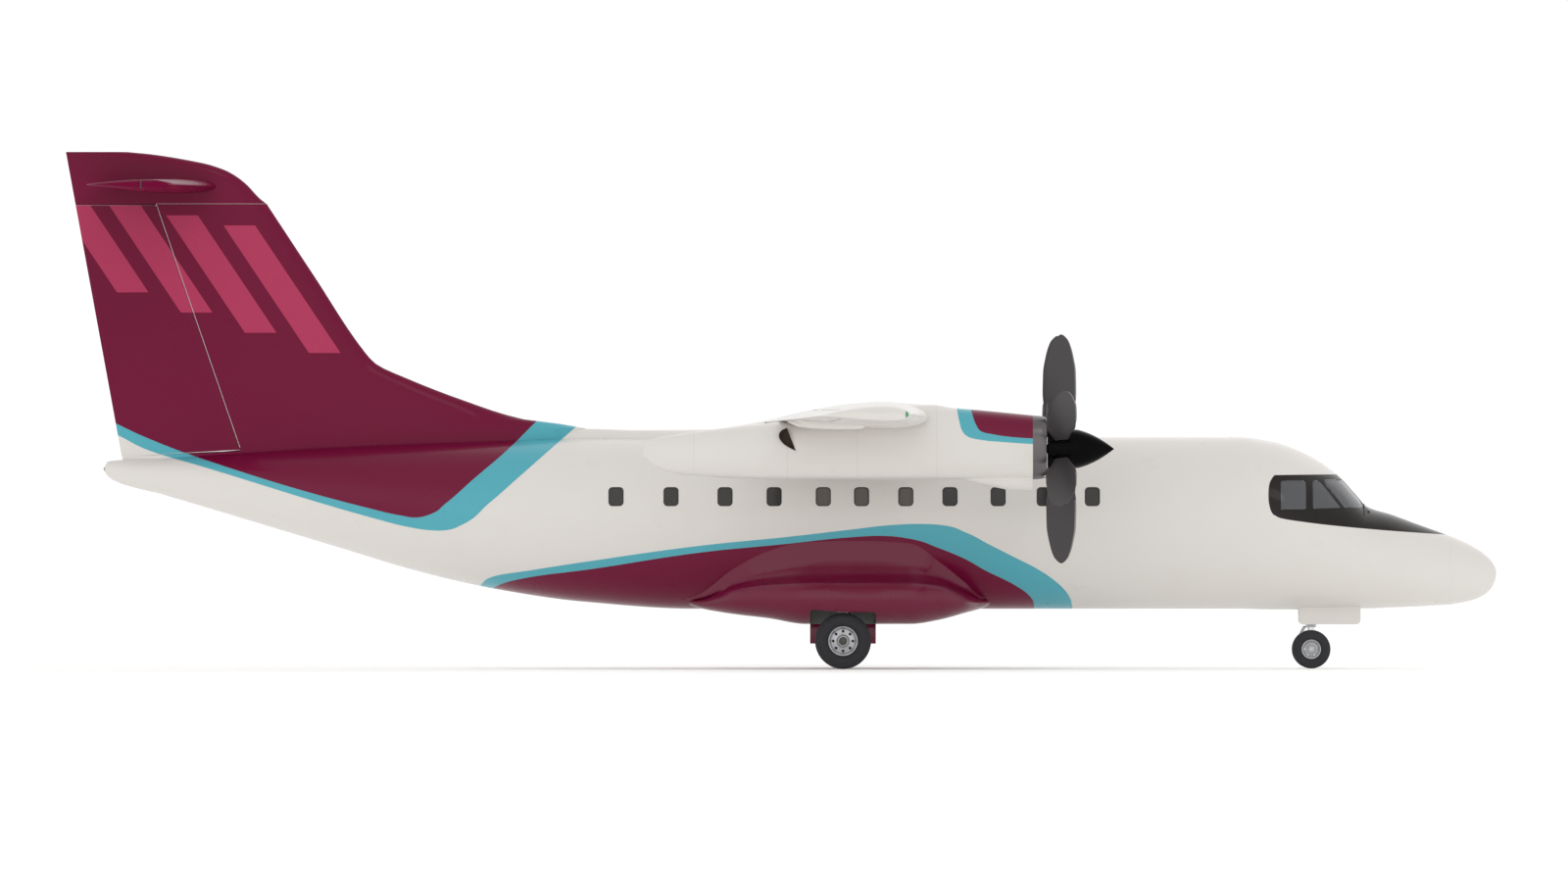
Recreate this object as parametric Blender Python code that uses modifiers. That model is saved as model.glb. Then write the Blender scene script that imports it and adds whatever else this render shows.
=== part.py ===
"""High wing turboprop airliner, parked on its gear. Metres, +X to the nose, +Y to port, +Z up.

The origin is on the ground, below the middle of the aircraft's length and width.
"""

import math

import bmesh
import bpy
from mathutils import Matrix, Vector

OBJECT_NAME = "turboprop_airliner"

SEAT_GAP = 0.0003
HINGE_GAP = 0.012
# A pin of flat facets turns freely in a hole whose facets lie outside its corners by this much.
PIN_PLAY = 0.00005
PIN_SIDES = 12
AXLE_SIDES = 20
SIDES = (("left", 1), ("right", -1))

# Fuselage: the skin is a loft over these stations.
HULL_SIDES = 28
WALL = 0.10
HULL_STATIONS = (
    # x, top, bottom, half width, height where widest, power of the upper half
    (-10.72, 3.21, 3.11, 0.05, 3.16, 2.0),
    (-10.66, 3.285, 3.035, 0.12, 3.16, 2.0),
    (-9.89, 3.330, 2.782, 0.27, 3.06, 2.0),
    (-8.49, 3.434, 2.363, 0.53, 2.90, 2.0),
    (-7.10, 3.528, 1.944, 0.79, 2.74, 2.0),
    (-5.70, 3.590, 1.525, 1.03, 2.56, 2.0),
    (-4.53, 3.621, 1.261, 1.18, 2.44, 2.0),
    (-3.14, 3.655, 1.059, 1.30, 2.36, 2.0),
    (-1.35, 3.667, 0.945, 1.3585, 2.3085, 2.0),
    (5.30, 3.667, 0.945, 1.3585, 2.3085, 2.0),
    (7.25, 3.667, 0.945, 1.3585, 2.3085, 2.0),
    (7.81, 3.590, 0.934, 1.335, 2.27, 1.95),
    (8.18, 3.466, 0.934, 1.29, 2.19, 1.85),
    (8.56, 3.264, 0.934, 1.22, 2.06, 1.70),
    (8.84, 3.046, 0.942, 1.16, 1.94, 1.65),
    (9.11, 2.751, 0.950, 1.10, 1.84, 1.70),
    (9.30, 2.557, 0.952, 1.05, 1.78, 1.85),
    (9.67, 2.441, 0.966, 0.95, 1.70, 2.0),
    (10.05, 2.301, 0.981, 0.83, 1.63, 2.0),
    (10.61, 2.099, 1.012, 0.60, 1.56, 2.0),
    (10.98, 1.928, 1.090, 0.41, 1.52, 2.0),
    (11.20, 1.770, 1.210, 0.245, 1.52, 2.0),
    (11.335, 1.575, 1.455, 0.05, 1.515, 2.0),
)
SPLITS = {
    "aft_fuselage": (-10.72, -1.35),
    "centre_fuselage": (-1.35, 5.30),
    "entry_section": (5.30, 7.25),
    "cockpit_section": (7.25, 10.61),
    "radome": (10.61, 11.335),
}

# Hollow entry and cockpit, with one floor.
FLOOR = 1.55
ROOM_BACK = 5.60
ROOM_FRONT = 9.30
ROOM_CUT_ROOF = 0.08
# The tail cone is a shell, so that the aircraft's weight rests ahead of its main wheels.
CONE_HOLLOW = (-7.60, -1.30)
CONE_WALL = 0.12

# Cockpit glazing: outlines in side view, as x and z, cut through the skin along Y.
GLASS = (
    # name, inner y, outline
    ("windshield", 0.05, ((8.58, 2.99), (8.91, 2.55), (9.24, 2.55), (9.00, 2.99))),
    ("front_side_window", 0.30, ((8.41, 2.98), (8.53, 2.98), (8.87, 2.545), (8.41, 2.53))),
    ("rear_side_window", 0.30, ((7.90, 2.98), (8.31, 2.98), (8.31, 2.52), (7.90, 2.52))),
)
GLASS_INSET = 0.0004

# Airstair door on the port side, hinged at its sill.
DOOR_X = (5.86, 6.64)
DOOR_Z = (1.60, 3.26)
DOOR_GAP = 0.008
SILL_DROP = 0.032
DOOR_PIN_REACH = 0.05
DOOR_PIN_RADIUS = 0.012
DOOR_PIVOT = (6.25, 1.145, 1.596)

# Cockpit: two seats, and a panel with a pedestal between them. Boxes are low corner, high corner.
PANEL = ((8.76, -0.70, 1.95), (9.04, 0.70, 2.34))
PEDESTAL = ((8.25, -0.14), (8.95, 0.14), 2.08)
SEAT_Y = 0.46
SEAT_CUSHION = {"x": (7.80, 8.30), "half_width": 0.24, "z": (1.93, 2.05)}
SEAT_BASE = {"x": (7.88, 8.20), "half_width": 0.16, "top": 1.98}
SEAT_BACK = {"line": ((7.72, 1.98), (7.60, 2.62)), "half_width": 0.22, "thick": 0.11}
SEAT_HEAD = {"x": (7.59, 7.69), "half_width": 0.13, "z": (2.58, 2.82)}

# Wing: straight taper from the centre line to the tip.
SPAN_HALF = 12.80
WING_ROOT = {"nose": 2.469, "chord": 2.749}
WING_TIP = {"nose": 1.988, "chord": 1.429}
WING_RATIO = 0.172
WING_CAMBER = 0.022
WING_HEIGHT = 3.928
WING_RISE = 0.0058
WING_SETTING = 0.019
WING_POINTS = 9
CENTRE_HALF = 4.60
# The section keeps its size as far as this station, then closes in to the tip by these shares.
WING_FULL_TO = 12.40
WING_TIP_RINGS = ((12.62, 0.94), (12.76, 0.78), (SPAN_HALF, 0.55))
FLAP_HINGE = 0.74
WING_SURFACES = (
    # name, inner y, outer y, end with the pin
    ("flap_inner", 1.50, 3.10, "outer"),
    ("flap_outer", 4.76, 8.55, "inner"),
    ("aileron", 8.70, 12.30, "inner"),
)
END_GAP = 0.022
PIN_RADIUS = 0.018
PIN_LENGTH = 0.045

# Fairing over the middle of the wing, with the low spine behind it.
FAIRING_STATIONS = (
    # x, top, half width
    (-3.0996, 3.800, 0.24),
    (-2.30, 3.780, 0.36),
    (-1.20, 3.790, 0.62),
    (-0.40, 3.900, 0.92),
    (0.60, 4.110, 1.12),
    (1.60, 4.215, 1.18),
    (2.30, 4.180, 1.14),
    (2.90, 4.020, 0.98),
    (3.60, 3.740, 0.60),
)
FAIRING_FOOT = 2.90
FAIRING_POWER = 2.5
FAIRING_POINTS = 20
FAIRING_TUNNEL_HALF = 1.9

# Fin, rudder and the tip that carries the tailplane.
FIN_POINTS = 9
FIN_TRAIL = {"low": (-10.45, 3.37), "high": (-11.335, 8.19)}
RUDDER_HINGE = {"low": (-8.60, 3.45), "high": (-9.94, 7.35)}
RUDDER_NOSE = 0.125
FIN_STATIONS = (
    # z, leading edge x
    (3.20, -3.10),
    (3.81, -3.10),
    (3.95, -4.07),
    (4.24, -5.00),
    (4.60, -5.93),
    (4.83, -6.42),
    (5.06, -6.63),
    (6.20, -7.385),
    (7.363, -8.15),
)
TIP_STATIONS = (
    # z, leading edge x, thickness
    (7.3633, -8.15, 0.324),
    (7.45, -8.26, 0.322),
    (7.69, -8.49, 0.32),
    (7.86, -8.73, 0.30),
    (7.98, -9.04, 0.26),
    (8.08, -9.52, 0.20),
    (8.15, -9.98, 0.13),
    (8.186, -10.36, 0.06),
)
RUDDER_TOP = 7.337
RUDDER_FOOT = {"front": (-8.20, 3.486), "back": (-10.60, 3.352)}
RUDDER_PIN = 0.022

# Tailplane and elevators.
TAIL_HALF = 3.95
TAIL_HEIGHT = 7.642
TAIL_RATIO = 0.113
TAIL_POINTS = 8
TAIL_ROOT = {"nose": -8.93, "chord": 2.002}
TAIL_TIP = {"nose": -9.61, "chord": 1.322}
TAIL_HINGE_X = -10.047
ELEVATOR_INNER = 0.20
ELEVATOR_OUTER = 3.78
ELEVATOR_PIN = 0.020

# Nacelles, engines and propellers.
ENGINE_Y = 3.75
SHAFT_Z = 3.481
NACELLE_SIDES = 18
NACELLE_STATIONS = (
    # x, top, bottom, half width
    (-2.16, 3.590, 3.360, 0.03),
    (-1.99, 3.645, 3.200, 0.12),
    (-1.68, 3.700, 3.100, 0.22),
    (-1.37, 3.750, 3.060, 0.28),
    (-0.71, 3.830, 3.020, 0.37),
    (-0.06, 3.905, 3.000, 0.43),
    (0.82, 3.990, 3.000, 0.47),
    (1.68, 4.140, 3.000, 0.49),
    (2.38, 4.180, 3.000, 0.49),
    (2.69, 4.130, 3.000, 0.48),
    (3.15, 4.090, 3.000, 0.47),
    (3.96, 4.010, 3.000, 0.44),
)
CHIN_STATIONS = (
    # x, bottom, half width
    (2.70, 3.030, 0.06),
    (2.95, 2.970, 0.14),
    (3.35, 2.880, 0.20),
    (3.70, 2.825, 0.22),
    (3.96, 2.820, 0.21),
)
CHIN_TOP = 3.20
CHIN_MOUTH = {"half_width": 0.15, "low": 2.86, "high": 2.96, "depth": 0.30}
LIP_FRONT = 4.180
LIP_HOLE = 0.335
LIP_STATIONS = (
    # x, top, bottom, half width
    (3.9603, 4.010, 3.000, 0.440),
    (4.150, 3.985, 3.020, 0.415),
    (LIP_FRONT, 3.955, 3.040, 0.380),
)
DUCT = {"half_width": 0.20, "low": 3.045, "high": 3.105, "depth": 0.30}
ENGINE_BACK = 2.45
ENGINE_FRONT = 3.93
ENGINE_RADIUS = 0.36
# Exhaust outlet on the outer side: a crescent in side view, as x and z.
EXHAUST = ((0.093, 3.815), (-0.010, 3.755), (-0.033, 3.680), (0.010, 3.590), (0.100, 3.515), (0.233, 3.450))
EXHAUST_DEPTH = 0.30
PROP_X = 4.41
BLADES = 6
HUB_BACK = 4.193
HUB_FRONT = 4.670
HUB_RADIUS = 0.320
HUB_FRONT_RADIUS = 0.303
SPINNER_TIP = 5.241
SPINNER_STEPS = 5
SHAFT_RADIUS = 0.07
SHAFT_BACK = 3.83
BLADE_STATIONS = (
    # radius, chord, thickness, pitch in degrees from the disc
    (0.24, 0.17, 0.090, 84),
    (0.42, 0.29, 0.060, 82),
    (0.62, 0.42, 0.044, 79),
    (0.90, 0.49, 0.032, 76),
    (1.21, 0.483, 0.024, 73),
    (1.45, 0.41, 0.018, 71),
    (1.68, 0.27, 0.012, 69),
    (1.80, 0.09, 0.008, 68),
)
BLADE_POINTS = 6

# Gear fairings low on both sides, each with a wheel bay.
POD_STATIONS = (
    # x, top, shoulder, bottom, half width
    (-1.30, 1.20, 1.10, 0.960, 0.70),
    (-0.75, 1.62, 1.30, 0.865, 1.34),
    (-0.20, 1.93, 1.36, 0.800, 1.66),
    (0.40, 2.12, 1.38, 0.710, 1.86),
    (1.30, 2.15, 1.38, 0.710, 1.92),
    (2.05, 2.08, 1.38, 0.710, 1.88),
    (2.50, 1.74, 1.34, 0.775, 1.70),
    (2.90, 1.40, 1.20, 0.880, 1.36),
    (3.20, 1.05, 1.02, 0.965, 0.70),
)
# Shares that shape each half section: the flat belly, the round side, the brow over it
# and the shelf that turns up into a wall against the fuselage.
POD_FLAT = 0.62
POD_RISE = 0.62
POD_BROW = (0.975, 0.86)
POD_EDGE = 0.90
POD_WALL_SHARES = (0.12, 0.40, 1.0)
POD_WALL_POWER = 0.4
POD_SINK = 0.02
POD_LEAST_SIDE = 0.5
BAY_X = (0.46, 1.50)
BAY_Y = (1.06, 1.80)
BAY_FOOT = 0.40
# The bay is high over the strut and lower over the wheel, where the fairing is lower too.
BAY_STEP_Y = 1.40
BAY_ROOF = 1.50
BAY_LOW_ROOF = 1.18

# Main wheels, one on each side.
WHEEL_STEPS = 20
MAIN_X = 0.98
MAIN_Y = 1.60
MAIN_TYRE = {"radius": 0.45, "width": 0.33, "bead": 0.235, "shoulder": 0.34}
MAIN_AXLE = 0.055
MAIN_STRUT_Y = 1.27

# Nose gear with two wheels on one steered axle.
NOSE_X = 8.40
NOSE_Y = 0.185
NOSE_TYRE = {"radius": 0.31, "width": 0.19, "bead": 0.155, "shoulder": 0.235}
NOSE_AXLE = 0.035
NOSE_STRUT = 0.075
NOSE_PISTON = 0.055
NOSE_BAY_X = (8.20, 9.18)
NOSE_BAY_HALF = 0.29
NOSE_BAY_ROOF = 1.45
NOSE_DOOR_THICK = 0.018

COLOURS = {
    # name: red, green, blue, roughness, metallic
    "white_paint": (0.80, 0.79, 0.77, 0.25, 0.0),
    "burgundy_paint": (0.17, 0.016, 0.050, 0.25, 0.0),
    "black_gloss": (0.012, 0.012, 0.013, 0.15, 0.0),
    "blade_grey": (0.085, 0.078, 0.080, 0.40, 0.0),
    "lip_metal": (0.30, 0.30, 0.31, 0.30, 1.0),
    "dark_glass": (0.03, 0.03, 0.035, 0.05, 0.0),
    "rubber": (0.022, 0.022, 0.023, 0.80, 0.0),
    "rim_metal": (0.62, 0.62, 0.63, 0.35, 1.0),
    "gear_paint": (0.62, 0.64, 0.65, 0.40, 0.0),
    "engine_metal": (0.32, 0.31, 0.30, 0.50, 1.0),
    "seat_fabric": (0.06, 0.07, 0.09, 0.85, 0.0),
    "panel_plastic": (0.07, 0.075, 0.08, 0.60, 0.0),
}

for stale in list(bpy.data.objects):
    bpy.data.objects.remove(stale)
parts = bpy.data.collections.new(OBJECT_NAME)
cutters = bpy.data.collections.new("cutters")
for collection in (parts, cutters):
    bpy.context.scene.collection.children.link(collection)


def paint(name):
    """A Principled material from the colour table."""
    material = bpy.data.materials.get(name)
    if material is None:
        red, green, blue, roughness, metallic = COLOURS[name]
        material = bpy.data.materials.new(name)
        material.use_nodes = True
        shader = material.node_tree.nodes["Principled BSDF"]
        shader.inputs["Base Color"].default_value = (red, green, blue, 1.0)
        shader.inputs["Roughness"].default_value = roughness
        shader.inputs["Metallic"].default_value = metallic
        material.diffuse_color = (red, green, blue, 1.0)
    return material


def place(name, shape, colour, pivot=(0.0, 0.0, 0.0)):
    """Make an object of a bmesh in world coordinates, with its origin at the pivot.

    A piece with no colour is a cutter.
    """
    bmesh.ops.connect_verts_nonplanar(shape, angle_limit=0.0001, faces=shape.faces)
    bmesh.ops.recalc_face_normals(shape, faces=shape.faces)
    mesh = bpy.data.meshes.new(name)
    shape.transform(Matrix.Translation(-Vector(pivot)))
    shape.to_mesh(mesh)
    shape.free()
    piece = bpy.data.objects.new(name, mesh)
    piece.location = pivot
    if colour is None:
        cutters.objects.link(piece)
        piece.hide_render = True
        piece.display_type = "WIRE"
    else:
        parts.objects.link(piece)
        mesh.materials.append(paint(colour))
        mesh.shade_smooth()
        mesh.set_sharp_from_angle(angle=math.radians(35))
    return piece


def loft_into(shape, rings):
    """Skin a list of rings of equal length and close both ends."""
    loops = [[shape.verts.new(point) for point in ring] for ring in rings]
    for near, far in zip(loops, loops[1:]):
        count = len(near)
        for index in range(count):
            after = (index + 1) % count
            shape.faces.new((near[index], near[after], far[after], far[index]))
    shape.faces.new(loops[0])
    shape.faces.new(loops[-1])


def loft(name, rings, colour, pivot=(0.0, 0.0, 0.0)):
    shape = bmesh.new()
    loft_into(shape, rings)
    return place(name, shape, colour, pivot)


def block_into(shape, low, high):
    low, high = Vector(low), Vector(high)
    size = high - low
    matrix = Matrix.Translation((low + high) / 2) @ Matrix.Diagonal((*size, 1.0))
    return bmesh.ops.create_cube(shape, size=1.0, matrix=matrix)["verts"]


def block(name, low, high, colour, pivot=(0.0, 0.0, 0.0)):
    shape = bmesh.new()
    block_into(shape, low, high)
    return place(name, shape, colour, pivot)


def rod(name, start, end, radius, colour, sides=20, pivot=(0.0, 0.0, 0.0), roll=0.0):
    """A round bar between two points, rolled about its own axis."""
    start, end = Vector(start), Vector(end)
    along = end - start
    turn = along.to_track_quat("Z", "Y").to_matrix().to_4x4() @ Matrix.Rotation(roll, 4, "Z")
    shape = bmesh.new()
    bmesh.ops.create_cone(
        shape,
        cap_ends=True,
        segments=sides,
        radius1=radius,
        radius2=radius,
        depth=along.length,
        matrix=Matrix.Translation((start + end) / 2) @ turn,
    )
    return place(name, shape, colour, pivot)


def turned(name, profile, colour, centre, along, steps, closed=False):
    """Turn a profile of radius and height about the axis through centre.

    Height runs along +X or +Y. The profile runs from the far end to the near end.
    """
    shape = bmesh.new()
    verts = [shape.verts.new((radius, 0.0, height)) for radius, height in profile]
    for near, far in zip(verts, verts[1:]):
        shape.edges.new((near, far))
    if closed:
        shape.edges.new((verts[-1], verts[0]))
    mesh = bpy.data.meshes.new(name)
    shape.to_mesh(mesh)
    shape.free()
    piece = bpy.data.objects.new(name, mesh)
    piece.location = centre
    if along == "X":
        piece.rotation_euler = (0.0, math.radians(90), 0.0)
    else:
        # The half step sets a flat of the tread on the ground.
        piece.rotation_euler = (math.radians(-90), math.pi / steps, 0.0)
    screw = piece.modifiers.new("turn", "SCREW")
    screw.angle = math.tau
    screw.steps = steps
    screw.render_steps = steps
    screw.use_merge_vertices = True
    screw.merge_threshold = 0.0001
    screw.use_smooth_shade = True
    if colour is None:
        cutters.objects.link(piece)
        piece.hide_render = True
        piece.display_type = "WIRE"
    else:
        parts.objects.link(piece)
        mesh.materials.append(paint(colour))
    return piece


def hole_radius(radius, sides):
    """Radius of a faceted hole in which a pin with as many facets can turn."""
    return radius / math.cos(math.pi / sides) + PIN_PLAY


def boolean(piece, tool, operation):
    step = piece.modifiers.new(operation.lower(), "BOOLEAN")
    step.operation = operation
    step.solver = "EXACT"
    step.object = tool


def cut(piece, *tools):
    for tool in tools:
        boolean(piece, tool, "DIFFERENCE")


def join(piece, *tools):
    for tool in tools:
        boolean(piece, tool, "UNION")


def superellipse(angle, power):
    """Unit point of a superellipse; power 2 is a circle, less is more pointed."""
    across, up = math.cos(angle), math.sin(angle)
    return (
        math.copysign(abs(across) ** (2 / power), across),
        math.copysign(abs(up) ** (2 / power), up),
    )


def hull_row(x):
    """The fuselage's section at x, between the two stations around it."""
    for near, far in zip(HULL_STATIONS, HULL_STATIONS[1:]):
        if near[0] <= x <= far[0]:
            share = (x - near[0]) / (far[0] - near[0])
            return [a + (b - a) * share for a, b in zip(near, far)]
    raise ValueError(f"no fuselage at {x}")


def hull_ring(row, grow=0.0):
    """Ring of points round one fuselage section, larger by grow."""
    x, top, bottom, half_width, widest, power = row
    ring = []
    for step in range(HULL_SIDES):
        angle = math.tau * (step + 0.5) / HULL_SIDES
        across, up = superellipse(angle, power if angle < math.pi else 2.0)
        height = top - widest if up > 0 else widest - bottom
        ring.append((x, across * (half_width + grow), widest + up * (height + grow)))
    return ring


def hull_rings(low, high, grow=0.0):
    """Rings of the fuselage between two stations, ends included."""
    rows = [hull_row(low)]
    rows += [row for row in HULL_STATIONS if low + 0.001 < row[0] < high - 0.001]
    rows.append(hull_row(high))
    return [hull_ring(row, grow) for row in rows]


def room_rings(low, high, wall):
    """Rings of the hollow inside the skin, flat at the floor."""
    rings = hull_rings(low, high, -wall)
    return [[(x, y, max(z, FLOOR)) for x, y, z in ring] for ring in rings]


def airfoil_half(share):
    """Half thickness of a four digit airfoil for thickness ratio 1."""
    return 5 * (
        0.2969 * math.sqrt(share)
        - 0.1260 * share
        - 0.3516 * share**2
        + 0.2843 * share**3
        - 0.1015 * share**4
    )


def airfoil_mean(share, camber):
    """Height of the mean line, as one smooth arch."""
    return camber * 4 * share * (1 - share)


def airfoil_ring(ratio, camber, points, grow=0.0):
    """Aft share and height share of a whole airfoil, from the top of the tail round the nose."""
    shares = [(1 - math.cos(math.pi * step / points)) / 2 for step in range(points + 1)]
    upper = [(s, airfoil_mean(s, camber) + airfoil_half(s) * ratio + grow) for s in reversed(shares)]
    lower = [(s, airfoil_mean(s, camber) - airfoil_half(s) * ratio - grow) for s in shares[1:]]
    nose = upper[-1][0] - grow
    upper[-1] = (nose, airfoil_mean(0.0, camber))
    return upper + lower


def flap_ring(ratio, camber, hinge, points=4, nose_steps=6):
    """Aft share and height share of a control surface with a round nose about its hinge."""
    radius = airfoil_half(hinge) * ratio
    middle = airfoil_mean(hinge, camber)
    shares = [1 + (hinge - 1) * step / points for step in range(points)]
    upper = [(s, airfoil_mean(s, camber) + airfoil_half(s) * ratio) for s in shares]
    nose = []
    for step in range(nose_steps + 1):
        angle = math.pi / 2 + math.pi * step / nose_steps
        nose.append((hinge + radius * math.cos(angle), middle + radius * math.sin(angle)))
    lower = [(s, airfoil_mean(s, camber) - airfoil_half(s) * ratio) for s in reversed(shares)]
    return upper + nose + lower


def wing_line(y):
    """Leading edge x, chord and height of the wing's chord line at span station y."""
    share = abs(y) / SPAN_HALF
    nose = WING_ROOT["nose"] + (WING_TIP["nose"] - WING_ROOT["nose"]) * share
    chord = WING_ROOT["chord"] + (WING_TIP["chord"] - WING_ROOT["chord"]) * share
    return nose, chord, WING_HEIGHT + WING_RISE * abs(y)


def wing_point(y, aft, up):
    """World point on the wing at span station y, from shares of its chord."""
    nose, chord, height = wing_line(y)
    return (nose - aft * chord, y, height + up * chord + (0.5 - aft) * chord * WING_SETTING)


def wing_rings(stations, grow=0.0):
    rings = []
    for y in stations:
        chord = wing_line(y)[1]
        section = airfoil_ring(WING_RATIO, WING_CAMBER, WING_POINTS, grow / chord)
        rings.append([wing_point(y, aft, up) for aft, up in section])
    return rings


def wing_hinge(y, hinge=FLAP_HINGE):
    """Hinge point of a flap or an aileron at span station y."""
    return wing_point(y, hinge, airfoil_mean(hinge, WING_CAMBER))


def wing_cove(name, inner, outer):
    """Cutter that opens the wing for a surface between two span stations."""
    rings = []
    for y in (inner, outer):
        x, _, z = wing_hinge(y)
        chord = wing_line(y)[1]
        front = x + airfoil_half(FLAP_HINGE) * WING_RATIO * chord + HINGE_GAP
        back = x - chord
        rings.append([(front, y, z - 0.4), (front, y, z + 0.4), (back, y, z + 0.4), (back, y, z - 0.4)])
    return loft(name, rings, None)


def hinge_pin(name, at, towards, hole=False):
    """Short pin along a hinge line, out of the end of a surface, or the pin's hole."""
    start = Vector(at)
    along = (Vector(towards) - start).normalized()
    reach = along * (PIN_LENGTH + (SEAT_GAP if hole else 0.0))
    radius = hole_radius(PIN_RADIUS, PIN_SIDES) if hole else PIN_RADIUS
    return rod(name, start - reach, start + reach, radius, None, PIN_SIDES)


def build_fuselage():
    skins = {}
    for name, (low, high) in SPLITS.items():
        skins[name] = loft(name, hull_rings(low + SEAT_GAP / 2, high - SEAT_GAP / 2), "white_paint")

    cone_rings = hull_rings(CONE_HOLLOW[0], -1.35, -CONE_WALL)
    cone_rings.append([(CONE_HOLLOW[1], y, z) for _, y, z in cone_rings[-1]])
    cut(skins["aft_fuselage"], loft("cone_hollow", cone_rings, None))

    entry_room = loft("entry_room", room_rings(ROOM_BACK, 7.26, WALL), None)
    cockpit_room = loft("cockpit_room", room_rings(7.24, ROOM_FRONT, ROOM_CUT_ROOF), None)
    cut(skins["entry_section"], entry_room)
    cut(skins["cockpit_section"], cockpit_room)

    doorway = block(
        "doorway",
        (DOOR_X[0] - DOOR_GAP, 0.70, DOOR_Z[0] - SILL_DROP),
        (DOOR_X[1] + DOOR_GAP, 1.60, DOOR_Z[1] + DOOR_GAP),
        None,
    )
    pin_ends = (DOOR_X[0] - DOOR_PIN_REACH, DOOR_X[1] + DOOR_PIN_REACH)
    x, y, z = DOOR_PIVOT
    pin_hole = rod(
        "door_pin_hole",
        (pin_ends[0] - SEAT_GAP, y, z),
        (pin_ends[1] + SEAT_GAP, y, z),
        hole_radius(DOOR_PIN_RADIUS, PIN_SIDES),
        None,
        PIN_SIDES,
    )
    cut(skins["entry_section"], doorway, pin_hole)

    door = block(
        "passenger_door",
        (DOOR_X[0], 0.75, DOOR_Z[0]),
        (DOOR_X[1], 1.55, DOOR_Z[1]),
        "white_paint",
        DOOR_PIVOT,
    )
    boolean(door, loft("door_skin", hull_rings(5.40, 7.20), None), "INTERSECT")
    cut(door, entry_room)
    join(door, rod("door_pin", (pin_ends[0], y, z), (pin_ends[1], y, z), DOOR_PIN_RADIUS, None, PIN_SIDES))

    nose_bay = block(
        "nose_bay",
        (NOSE_BAY_X[0], -NOSE_BAY_HALF, 0.50),
        (NOSE_BAY_X[1], NOSE_BAY_HALF, NOSE_BAY_ROOF),
        None,
    )
    cut(skins["cockpit_section"], nose_bay)
    build_glass(skins["cockpit_section"], cockpit_room)


def glass_prism(name, outline, inner, outer, side, inset, colour):
    """Prism along Y from a side view outline, drawn in by inset."""
    points = [Vector(point) for point in outline]
    middle = sum(points, Vector((0.0, 0.0))) / len(points)
    corners = [point - (point - middle).normalized() * inset for point in points]
    rings = [[(c.x, side * y, c.y) for c in corners] for y in (inner + inset, outer)]
    return loft(name, rings, colour)


def build_glass(skin, room):
    outer_skin = loft("glass_skin", hull_rings(7.30, 10.40), None)
    for name, inner, outline in GLASS:
        for side_name, side in SIDES:
            label = f"{name}_{side_name}"
            cut(skin, glass_prism(f"{label}_opening", outline, inner, 1.6, side, 0.0, None))
            pane = glass_prism(label, outline, inner, 1.5, side, GLASS_INSET, "dark_glass")
            boolean(pane, outer_skin, "INTERSECT")
            cut(pane, room)


def seat_block(name, y, low_x, high_x, half_width, low_z, high_z, colour=None):
    return block(name, (low_x, y - half_width, low_z), (high_x, y + half_width, high_z), colour)


def build_cockpit():
    floor = FLOOR + SEAT_GAP
    panel = block("instrument_panel", *PANEL, "panel_plastic")
    pedestal_low, pedestal_high, pedestal_top = PEDESTAL
    join(panel, block("pedestal", (*pedestal_low, floor), (*pedestal_high, pedestal_top), None))
    cushion, base, back, head = SEAT_CUSHION, SEAT_BASE, SEAT_BACK, SEAT_HEAD
    for side_name, side in SIDES:
        y = side * SEAT_Y
        seat = seat_block(
            f"pilot_seat_{side_name}", y, *cushion["x"], cushion["half_width"], *cushion["z"], "seat_fabric"
        )
        foot = seat_block(f"seat_base_{side_name}", y, *base["x"], base["half_width"], floor, base["top"])
        near, far = y - back["half_width"], y + back["half_width"]
        rings = []
        for x, z in back["line"]:
            front = x + back["thick"]
            rings.append([(x, near, z), (front, near, z), (front, far, z), (x, far, z)])
        rest = loft(f"seat_back_{side_name}", rings, None)
        head_rest = seat_block(f"seat_head_{side_name}", y, *head["x"], head["half_width"], *head["z"])
        join(seat, foot, rest, head_rest)


def build_wing():
    colour = "white_paint"
    centre = loft("wing_centre", wing_rings((-CENTRE_HALF, 0.0, CENTRE_HALF)), colour)
    outer = {}
    for side_name, side in SIDES:
        stations = [side * y for y in (CENTRE_HALF + SEAT_GAP, WING_FULL_TO)]
        rings = wing_rings(stations)
        for y, keep in WING_TIP_RINGS:
            ring = wing_rings([side * y])[0]
            middle = Vector(wing_point(side * y, 0.42, 0.02))
            rings.append([middle + (Vector(point) - middle) * keep for point in ring])
        outer[side] = loft(f"outer_wing_{side_name}", rings, colour)

    for name, inner, far, pin_end in WING_SURFACES:
        for side_name, side in SIDES:
            label = f"{name}_{side_name}"
            target = centre if far < CENTRE_HALF else outer[side]
            cove = wing_cove(f"{label}_cove", side * (inner - END_GAP), side * (far + END_GAP))
            ends = (side * inner, side * far)
            rings = []
            for y in ends:
                section = flap_ring(WING_RATIO, WING_CAMBER, FLAP_HINGE)
                rings.append([wing_point(y, aft, up) for aft, up in section])
            surface = loft(label, rings, colour, wing_hinge(ends[0]))
            first, last = (ends[1], ends[0]) if pin_end == "outer" else (ends[0], ends[1])
            at, other = wing_hinge(first), wing_hinge(last)
            join(surface, hinge_pin(f"{label}_pin", at, other))
            cut(target, cove, hinge_pin(f"{label}_pin_hole", at, other, True))


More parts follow.
